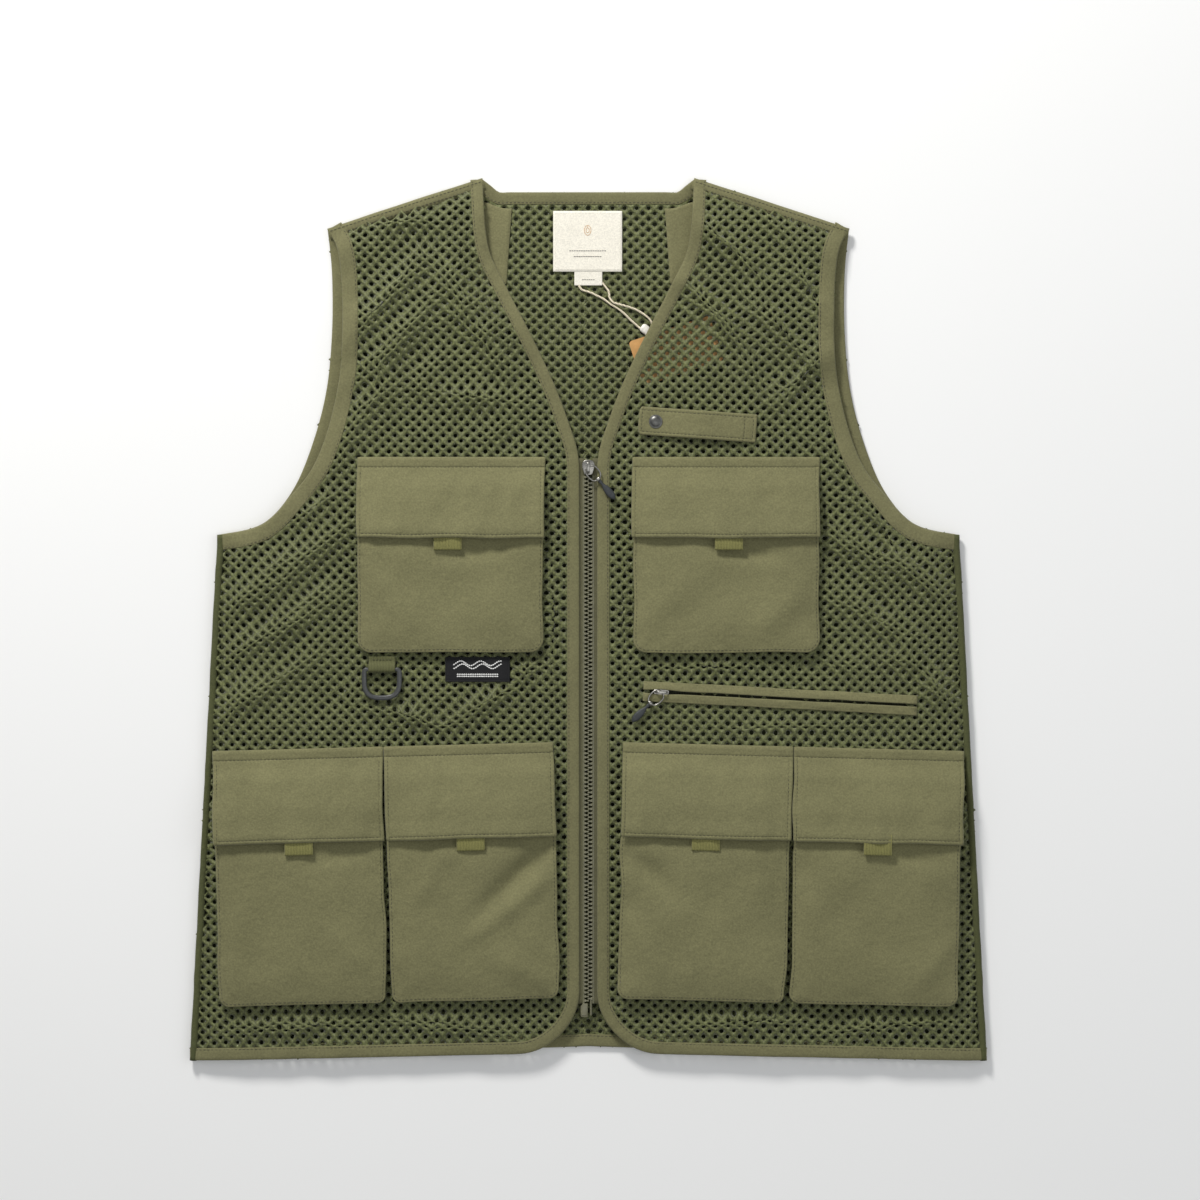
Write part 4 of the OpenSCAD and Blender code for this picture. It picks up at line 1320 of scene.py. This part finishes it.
def make_slider(name, centre, turn, w, body, node):
    """Two plates round the chain, with an arched crown that carries the pull."""
    l, plate_t, half_gap, tunnel = 11.0, 1.1, 1.3, 3.0
    c, s = math.cos(turn), math.sin(turn)

    def place(p):
        return np.array([centre[0] + c * p[0] - s * p[1], centre[1] + s * p[0] + c * p[1], centre[2] + p[2]])

    parts = [extruded(f"{name}_{i}", shield(w, l), low, low + plate_t, "zip_metal", 0.32, 3, place)
             for i, low in enumerate((half_gap, -half_gap - plate_t))]
    parts.append(extruded(f"{name}_post", [(-0.3, 2), (0.3, 2), (0.3, 4), (-0.3, 4)], -half_gap, half_gap,
                          "zip_metal", 0.1, 1, place))
    reach = l / 2 - 1.4
    rise = np.linspace(0, math.pi, 15)
    foot = half_gap + plate_t - 0.4
    arch = [place((0, reach * squared(math.cos(a), 0.45), foot + (tunnel + 0.9) * math.sin(a) ** 0.5))
            for a in rise]
    loop = [(-1, -0.5), (-0.6, -0.6), (0.6, -0.6), (1, -0.5), (1, 0.25), (0.5, 0.5), (-0.5, 0.5), (-1, 0.25)]
    points = []
    for (p, u, v), a in zip(frames_along(arch, up=(c, s, 0)), rise):
        half = 0.85 * (0.95 + 0.25 * math.sin(a))
        points += [p + x * half * v + z * 0.8 * u for x, z in loop]
    parts.append(solid(f"{name}_crown", points, tube_faces(len(rise), len(loop)), "zip_metal"))
    whole = merged(name, parts)
    dressed(whole, body, "zip_metal", node)


def make_pull(prefix, ring_joint, tab_joint):
    """An oval wire ring on the slider, and a moulded tab that hangs on it."""
    at = pivot(ring_joint)
    far = pivot(tab_joint)
    u = (far - at) / np.linalg.norm(far - at)
    v = np.array([-u[1], u[0], 0])
    up = np.array([0, 0, 1.0])
    reach = np.linalg.norm(far - at)
    path = []
    for a in around(56):
        x = reach / 2 * (1 + squared(math.cos(a), 0.8))
        y = (RING_W - WIRE) / 2 * squared(math.sin(a), 0.75) * (1 - 0.10 * (x / reach))
        path.append(at + x * u + y * v)
    points, faces = swept(frames_along(path, closed=True), circle_loop(WIRE / 2, 12), closed=True)
    ring = solid(f"{prefix}_ring_wire", points, faces, "zip_metal")
    dressed(ring, f"{prefix}_ring", "zip_metal", f"{prefix}_ring")
    outs = [math.cos(a) * u + math.sin(a) * up for a in around(24)]
    loop = [(1.5 * squared(math.cos(a), 0.7), 0.34 * math.sin(a)) for a in around(14)]
    points, faces = swept([(far + 1.25 * r, v, r) for r in outs], loop, closed=True)
    link = solid(f"{prefix}_link", points, faces, "zip_metal")
    # along the tab: distance, half width, half height
    spans = [(1.35, 1.15, 0.75), (2.6, 1.3, 0.85), (3.4, 1.05, 0.8), (5.0, 1.05, 0.8), (6.4, 1.5, 0.95),
             (8.6, 2.3, 1.15), (11.5, 2.75, 1.3), (14.2, 2.7, 1.3), (16.4, 2.2, 1.15), (17.9, 1.4, 0.8),
             (18.8, 0.6, 0.4)]
    spans = resampled(spans, 0.7)
    points, sides = [], 20
    for d, a, b in spans:
        for t in around(sides):
            x, z = squared(math.cos(t), 0.8), squared(math.sin(t), 0.8)
            grip = 0.12 * math.cos(d * 3.6) if 9 < d < 16 and abs(x) < 0.75 else 0
            points.append(far + d * u + a * x * v + (b + grip) * z * up)
    tab = solid(f"{prefix}_tab_rubber", points, tube_faces(len(spans), sides), "pull_cord")
    dressed(link, f"{prefix}_tab", "zip_metal")
    dressed(tab, f"{prefix}_tab", "pull_cord", f"{prefix}_tab")


def make_zip_pocket():
    joint = JOINTS["pocket_zip_slide"]
    axis = np.array(joint["axis"])
    centre = middle("welts")
    place = Place(centre, axis, 1)
    length, half = 199.0, 7.0
    slider_x = float((middle("pocket_slider") - centre) @ place.x)
    cuts = np.linspace(-length / 2, length / 2, 110)
    halves = []
    for s in (-1, 1):
        x, t = np.meshgrid(cuts, np.linspace(0, 1, 12))
        drift = 0.45 * value_noise(x / 22, s + 0.5, 320) + 0.2 * value_noise(x / 8, s + 0.5, 322)
        lips = 1.2 + 0.8 * np.exp(-((x - slider_x) / 9) ** 2) + np.maximum(0, drift)
        y = s * (lips + (half - lips) * t) + 0.6 * t * drift
        ends = smoothstep((length / 2 - np.abs(x)) / 3)
        z = FRONT_TOP + 0.75 + 0.85 * np.cos(t * math.pi / 2) ** 0.7 * ends
        z = z + np.minimum(0.05, 0.30 * value_noise(x / 9, t * 2 + s, 321)) + groove(t - 0.78, 0.25, 0.05)
        halves.append(plate(f"welt_{s}", place(x, y, z), 0.7, "woven_fabric"))
    welts = merged("welts_cloth", halves)
    dressed(welts, "front_left", "woven_fabric", "welts")
    xs = np.linspace(-length / 2 + 1.4, length / 2 - 1.4, 90)
    rows = [place(xs, s * (half - 1.4), FRONT_TOP + 1.12) for s in (-1, 1)]
    ends = np.linspace(-half + 1.4, half - 1.4, 10)
    rows += [place(np.full(10, s * (length / 2 - 1.6)), ends, FRONT_TOP + 1.12) for s in (-1, 1)]
    sewn = stitches("welt_stitches", rows, pitch=2.8, long=1.9, thick=0.22)
    dressed(sewn, "front_left", "woven_fabric")
    # the coil: small loops on both sides of the middle, over their tapes
    x, t = np.meshgrid(np.linspace(-92, 92, 60), np.linspace(1.8, 6.6, 4))
    parts = [plate("coil_tape", place(x, s * t, ZIP_Z), 0.5, "pocket_zip") for s in (-1, 1)]
    x, a = np.linspace(-92, 92, 1101), np.arange(1101) * 2 * math.pi / 7
    paths = [place(x, s * (1.05 + 0.75 * np.cos(a)), ZIP_Z + 0.55 * np.sin(a)) for s in (-1, 1)]
    points, faces = joined([swept(frames_along(path), circle_loop(0.2, 4)) for path in paths])
    parts.append(piece("coil", points, faces, "pocket_zip"))
    coil = merged("pocket_zip_coil", parts)
    dressed(coil, "front_left", "pocket_zip", "pocket_zip")
    low, high = low_high("pocket_bag")
    depth = high[1] - low[1] - 199 * abs(axis[1])
    x, y = np.meshgrid(np.linspace(-95, 95, 50), np.linspace(9 - depth + 1, 8, 40))
    z = BACK_Z + 3.6 + 0.35 * value_noise(x / 24, y / 24, 330)
    # the pocket bag is real, but made of the near-black cloth as painted shade, so the mesh's holes over it
    # read dark
    bag = plate("pocket_bag_cloth", place(x, y, z), 2.6, "painted_shade_cloth", 0.9)
    dressed(bag, "front_left", "mesh_fabric", "pocket_bag")


def make_zips():
    zip_tapes()
    zip_teeth()
    axis = JOINTS["pocket_zip_slide"]["axis"]
    pocket_turn = math.atan2(axis[1], axis[0]) + math.pi / 2
    for name, pull, turn, w in (("zip_slider", "zip_pull", 0, 9),
                                ("pocket_slider", "pocket_pull", pocket_turn, 6)):
        at = pivot(f"{pull}_ring_swing")
        make_slider(f"{name}_metal", (at[0], at[1], ZIP_Z), turn, w, name, name)
    for pull in ("zip_pull", "pocket_pull"):
        make_pull(pull, f"{pull}_ring_swing", f"{pull}_tab_swing")
    make_zip_pocket()


# ---------------------------------------------------------------- strap, ring, labels and tag


def make_snap_strap():
    joint = JOINTS["snap_strap_lift"]
    axis = np.array(joint["axis"])
    at = np.array(joint["pos_m"]) / MM
    place = Place(at, (axis[1], -axis[0]), 1)
    inner, outer, w = -76.0, 9.0, 19.6
    cap = middle("snap_cap")
    cap_x = float((cap - at) @ place.x)
    along = spaced(outer - inner, 2.4, (2.0, outer - inner - 2.0, outer - inner - 8.4)) + inner
    across = spaced(w, 1.8, (2.0, w - 2.0)) - w / 2
    y, x = np.meshgrid(across, along, indexing="ij")

    def height(x, y):
        z = FRONT_TOP + 2.0 - 1.05 * smoothstep((x + 2) / 8)
        arch = 1.5 * np.sin(np.pi * np.clip((x - cap_x - 6) / (-cap_x - 8), 0, 1)) ** 2
        tip = 0.8 * smoothstep((inner + 9 - x) / 9)
        return z + arch + tip + 0.2 * value_noise(x / 12, y / 9, 401)

    z = height(x, y) + groove(np.abs(y) - (w / 2 - 2.0), 0.25) + groove(x - inner - 2.0, 0.25)
    z = z + groove(x - outer + 2.0, 0.25) + groove(x - outer + 8.4, 0.25)
    z = z - 0.55 * np.exp(-(((x - cap_x) ** 2 + y**2) / 40) ** 2)
    round_x = x + 1.6 * np.exp(-((x - inner) / 2.5) ** 2) * (np.abs(2 * y / w)) ** 6
    strap = plate("snap_strap_cloth", place(round_x, y, z), 1.3, "woven_fabric")
    xs, ys = np.linspace(inner + 2, outer - 2, 50), np.linspace(-w / 2 + 2, w / 2 - 2, 12)
    rows = [(xs, np.full(50, s * (w / 2 - 2))) for s in (-1, 1)]
    rows += [(np.full(12, a), ys) for a in (inner + 2, outer - 2, outer - 8.4)]
    rows = [place(a, b, height(a, b) + 0.45) for a, b in rows]
    sewn = stitches("snap_strap_stitches", rows, pitch=2.8, long=1.9, thick=0.22)
    for o in (strap, sewn):
        place.point(3.5, 0)
        place.point(-2.5, 0)
        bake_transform(o)
    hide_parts("snap_strap", "strap_base")
    top = float(height(np.array(cap_x), np.array(0.0))) + 0.1
    dome = [(0.0, 1.55), (1.0, 1.52), (2.2, 1.38), (3.2, 1.08), (3.7, 0.78), (3.95, 0.55), (4.3, 0.55),
            (4.75, 0.66), (5.0, 0.5), (5.0, 0.1), (4.6, -0.1), (1.9, -0.15), (1.9, -1.3), (0.0, -1.3)]
    cap_piece = lathe("snap_cap_dome", dome, (cap[0], cap[1], top), "snap_metal", 40)
    dressed(cap_piece, "snap_strap", "snap_metal", "snap_cap")
    stud = [(0.0, 1.1), (1.2, 1.1), (1.6, 0.9), (1.3, 0.5), (2.2, 0.45), (3.9, 0.3), (4.0, 0.1),
            (3.8, 0.0), (0.0, 0.0)]
    stud_piece = lathe("snap_stud_post", stud, (cap[0], cap[1], FRONT_TOP), "snap_metal", 32)
    dressed(stud_piece, "front_left", "snap_metal", "snap_stud")


def make_d_ring():
    at = pivot("d_ring_swing")
    w, h, t = 28.0, 23.0, 2.4
    half, deep = (w - t) / 2, h - t
    corner = 2.2
    ends = half - corner
    path = [(x, 0) for x in np.linspace(-ends, ends, 12)]
    path += [(ends + corner * math.sin(a), corner * (math.cos(a) - 1))
             for a in np.linspace(0.3, math.pi / 2, 5)]
    path += [(half * squared(math.cos(a), 0.72), -deep + half - half * math.sin(a) ** 0.72)
             for a in np.linspace(0, math.pi, 34)]
    path += [(-ends - corner * math.cos(a), corner * (math.sin(a) - 1))
             for a in np.linspace(0, math.pi / 2 - 0.3, 5)]
    points = [(at[0] + x, at[1] + y, at[2]) for x, y in path]
    loop = [(0.75 * t * squared(math.cos(a), 0.75), t / 2 * squared(math.sin(a), 0.75)) for a in around(16)]
    points, faces = swept(frames_along(points, closed=True), loop, closed=True)
    points = np.array(points)
    # the bar inside the webbing is slimmer, so it turns freely there
    bar = np.clip((11.5 - np.abs(points[:, 0] - at[0])) / 1.8, 0, 1) * (points[:, 1] > at[1] - 2.0)
    points[:, 1] += (at[1] - points[:, 1]) * 0.38 * bar
    ring = solid("d_ring_moulding", points, faces, "d_ring_plastic")
    dressed(ring, "d_ring", "d_ring_plastic", "d_ring")
    place = Place(at, (1, 0), 1)
    r = 1.95
    turn = [(-r * math.sin(a), at[2] - r * math.cos(a)) for a in np.linspace(0, math.pi, 11)]
    path = [(9.5, FRONT_TOP + 0.55), (5.5, FRONT_TOP + 0.6), (3.0, at[2] - r + 0.1)] + turn
    path += [(3.0, at[2] + r - 0.6), (5.5, FRONT_TOP + 1.75), (9.5, FRONT_TOP + 1.6)]
    loop_piece = webbing("webbing_loop_cloth", place, resampled(path, 0.8), 0, 19.0, 0.75, "dark_webbing")
    dressed(loop_piece, "front_right", "webbing", "webbing_loop")
    row = place(np.linspace(-8, 8, 20), 7.0, FRONT_TOP + 2.12)
    sewn = stitches("webbing_loop_stitches", [row], pitch=2.4, long=1.7, thick=0.22)
    dressed(sewn, "front_right", "webbing")


def embroidered(name, lines, material, body, slot, thick=0.24, pitch=1.5):
    dressed(stitches(name, lines, material, pitch, pitch * 0.92, thick), body, slot)


def make_patch():
    low, high = low_high("patch_label")
    c, w, h = (low + high) / 2, high[0] - low[0], high[1] - low[1]
    x, y = np.meshgrid(spaced(w, 1.8, (1.2, w - 1.2)) + low[0], spaced(h, 1.5, (1.2, h - 1.2)) + low[1])

    def height(x, y):
        return FRONT_TOP + 0.75 + 0.14 * value_noise(x / 9, y / 7, 501)

    z = height(x, y) + groove(np.abs(x - c[0]) - w / 2 + 1.2, 0.2)
    z = z + groove(np.abs(y - c[1]) - h / 2 + 1.2, 0.2)
    cloth = plate("patch_cloth", np.dstack([x, y, z]), 0.8, "patch")
    dressed(cloth, "front_right", "patch", "patch_label")
    # a plain woven ornament: waves over a double rule
    lines = []
    for k in range(2):
        xs = np.linspace(c[0] - w / 2 + 5, c[0] + w / 2 - 5, 90)
        ys = c[1] + 2.2 + k * 2.2 + 1.7 * np.sin((xs - c[0]) / 2.3 + k * 0.6)
        lines.append(np.column_stack([xs, ys, height(xs, ys) + 0.42]))
    for k in range(2):
        xs = np.linspace(c[0] - w / 2 + 8, c[0] + w / 2 - 8, 30)
        ys = np.full(30, c[1] - 3.6 - 1.5 * k)
        lines.append(np.column_stack([xs, ys, height(xs, ys) + 0.42]))
    embroidered("patch_ornament", lines, "patch_motif", "front_right", "patch", 0.55, 1.6)


def make_labels():
    for name, lift in (("neck_label", 1.25), ("size_label", 1.05)):
        low, high = low_high(name)
        w, h = high[0] - low[0], high[1] - low[1]
        c = (low + high) / 2
        x, y = np.meshgrid(np.linspace(low[0], high[0], 28), np.linspace(low[1], high[1], 24))

        def height(x, y, lift=lift):
            return BACK_Z + lift + 1.4 + 0.25 * value_noise(x / 17, y / 13, 510)

        def row(xs, ys, above=0.24, height=height):
            return np.column_stack([xs, ys, height(xs, ys) + above])

        cloth = plate(f"{name}_cloth", np.dstack([x, y, height(x, y)]), 0.45, "label")
        dressed(cloth, "back", "label", name)
        if name == "neck_label":
            t = np.linspace(-1, 1, 40)
            sides = [(t, t * 0 - 1), (t * 0 + 1, t), (-t, t * 0 + 1), (t * 0 - 1, -t)]
            hem = [row(c[0] + (w / 2 - 1.5) * a, c[1] + (h / 2 - 1.5) * b, 0.2) for a, b in sides]
            embroidered("neck_label_stitches", hem, "label", "back", "label", 0.2, 2.6)
            a = np.tile(np.linspace(0, 2 * math.pi, 24), 2)
            r = np.repeat((2.4, 1.2), 24)
            drop = row(c[0] + r * np.sin(a), c[1] + 8 + r * 1.5 * np.cos(a))
            embroidered("neck_label_motif", [drop], "label_motif", "back", "label", 0.28, 1.0)
            rules = [row(c[0] + half * t, c[1] - drop_y + t * 0) for half, drop_y in ((14, 7), (11, 11.2))]
            embroidered("neck_label_rules", rules, "label_lines", "back", "label", 0.3, 1.7)
        else:
            dash = row(np.linspace(c[0] - 5, c[0] + 5, 20), np.full(20, c[1] - 1))
            embroidered("size_label_rule", [dash], "label_lines", "back", "label", 0.26, 1.6)


def make_facings():
    """Woven pieces inside the shoulders, on the back."""
    ring = next(r for r in outline("shoulder_facings") if r[:, 0].mean() > 0)
    inner, outer = ring[:, 0].min(), ring[:, 0].max()
    for side, s in SIDES.items():
        u, v = np.meshgrid(np.linspace(0, 1, 40), np.linspace(0, 1, 30))
        x = s * ((inner + 4 * v) * (1 - u) + (outer - 6 - 4 * v) * u)
        y = (NECK[1] - 22 - 54 * v) * (1 - u) + (SHOULDER[1] - 16 - 18 * v) * u
        y = y + 12 * (1 - v) * np.exp(-((u * (outer - inner) - 26) / 16) ** 2)
        z = back_height(x, y) + 1.0 + 0.3 * value_noise(x / 16, y / 20, 520)
        cut = 9
        # the far part, under the front, is the near-black cloth: painted shade where the front covers it
        parts = [("near", "woven_fabric", slice(0, cut + 1)), ("far", "painted_shade_cloth", slice(cut, None))]
        for where, material, columns in parts:
            grid = np.dstack([x, y, z])[:, columns]
            cloth = plate(f"shoulder_facing_{where}_{side}", grid, 0.6, material)
            dressed(cloth, "back", "woven_fabric", "shoulder_facings")


STRING_D = 0.0016
# The string's route, in millimetres, as in the CAD
ROUTE = [(-9, 243, 2.2), (-5, 241, 2.2), (-1, 239.5, 2.2), (3, 238, 2.2), (7, 236, 2.2), (11, 234, 2.2),
         (15, 231, 2.2), (19, 228.5, 2.2), (23, 226, 2.2), (27, 222.5, 2.2), (31, 218.5, 2.2),
         (36, 214, 2.2), (41, 209.5, 2.2), (44.5, 207, 2.5), (47.5, 208.5, 2.5), (48, 212, 2.2),
         (46.5, 216, 2.2), (44, 220, 2.2), (40, 223, 2.4), (36, 225.5, 2.6), (31, 227.5, 3.2),
         (26, 229, 3.8), (22, 230, 3.8), (18, 231.5, 3.4), (15.5, 235, 2.6), (15, 239, 2.2),
         (13, 243, 2.2)]


def make_string_and_tag():
    lifted = np.array(ROUTE, float)
    lifted[:, 2] += 0.9
    lifted = np.concatenate([[(-8.6, 247, 1.9)], lifted[1:-1], [(12.4, 243, 2.6), (8.6, 248, 1.9)]])
    route = resampled(lifted, 0.8)
    length = float(run_along(route)[-1]) * MM
    r = STRING_D / MM / 2
    points, sides = [], 12
    for i, (c, u, v) in enumerate(frames_along(route)):
        twist = i * 0.55
        for a in around(sides):
            bulge = r * (0.86 + 0.16 * abs(math.cos(1.5 * (a - twist))))
            points.append(c + bulge * (math.cos(a) * u + math.sin(a) * v))
    string = solid("hang_string", points, tube_faces(len(route), sides), "string")
    c = middle("seal")
    d = np.array(ROUTE[13][:2]) - np.array(ROUTE[11][:2])
    d = d / np.linalg.norm(d)
    path = [(c[0] + t * d[0], c[1] + t * d[1], c[2] + 0.7) for t in np.linspace(-5.5, 5.5, 16)]
    size = [0.55, 0.85, 0.97, 1, 1, 1, 1, 0.93, 0.93, 1, 1, 1, 1, 0.97, 0.85, 0.55]
    points, sides = [], 18
    for (p, u, v), k in zip(frames_along(path), size):
        points += [p + 3.3 * k * squared(math.cos(a), 0.7) * u + 1.9 * k * squared(math.sin(a), 0.7) * v
                   for a in around(sides)]
    seal = solid("hang_seal", points, tube_faces(len(path), sides), "seal_plastic")
    tag = make_tag()
    dressed(string, "back", "string", "string")
    dressed(seal, "back", "seal_plastic", "seal")


def make_tag():
    c = middle("hang_tag")
    turn = math.radians(18)
    w, h, r, half_t, hole_x = 62.0, 34.0, 2.5, 0.22, -26
    rim = []
    for first, sx, sy in ((0, 1, 1), (90, -1, 1), (180, -1, -1), (270, 1, -1)):
        rim += [(sx * (w / 2 - r) + r * math.cos(a), sy * (h / 2 - r) + r * math.sin(a))
                for a in np.radians(range(first, first + 91, 18))]
    rim.sort(key=lambda p: math.atan2(p[1], p[0] - hole_x) % (2 * math.pi))
    hole = [(hole_x + x, y) for x, y in circle_loop(2, len(rim))]
    points = []
    for ring, z in ((rim, half_t), (hole, half_t), (hole, -half_t), (rim, -half_t)):
        for x, y in ring:
            bend = 1.1 * (x / (w / 2)) ** 2
            points.append((c[0] + x * math.cos(turn) - y * math.sin(turn),
                           c[1] + x * math.sin(turn) + y * math.cos(turn), c[2] - 0.3 - bend + z))
    faces = tube_faces(4, len(rim), closed=True)
    tag = solid("hang_tag_card", points, faces, "tag_card", smooth=False)
    dressed(tag, "back", "tag_card", "hang_tag")
    return tag


def reach_of_back(x, top):
    """How far up, or down, the back reaches at each distance from the middle."""
    best = np.full(np.shape(x), -1e9)
    for a, b in zip(back_ring, np.roll(back_ring, -1, axis=0)):
        if abs(b[0] - a[0]) < 1e-6:
            continue
        t = (x - a[0]) / (b[0] - a[0])
        y = a[1] + (b[1] - a[1]) * t
        best = np.where((t >= 0) & (t <= 1), np.maximum(best, y if top else -y), best)
    return best if top else -best


def make_painted_shade_backing():
    """A thin near-black sheet under the back's mesh: painted shade, so no floor shows through its holes and
    they read dark.
    """
    half = back_ring[:, 0].max() - 4
    x = np.linspace(-half, half, 180)
    near = [np.clip(np.abs(x) + d, 0, half + 2) for d in (-3, 0, 4)]
    high = np.min([reach_of_back(n, True) for n in near], axis=0) - 4
    low = np.max([reach_of_back(n, False) for n in near], axis=0) + 4
    v = np.linspace(0, 1, 120)[:, None]
    y = high * (1 - v) + low * v
    xs = np.repeat(x[None], len(v), axis=0)
    z = 0.28 + 0.12 * value_noise(xs / 20, y / 20, 540)
    cloth = plate("back_painted_shade_sheet", np.dstack([xs, y, z]), 0.3, "painted_shade_cloth")
    dressed(cloth, "back", "mesh_fabric", "back_panel")


make_string_and_tag()
make_mesh_cloth()
make_painted_shade_backing()
make_bindings()
make_seams()
make_facings()
make_pockets()
make_zips()
make_snap_strap()
make_d_ring()
make_patch()
make_labels()
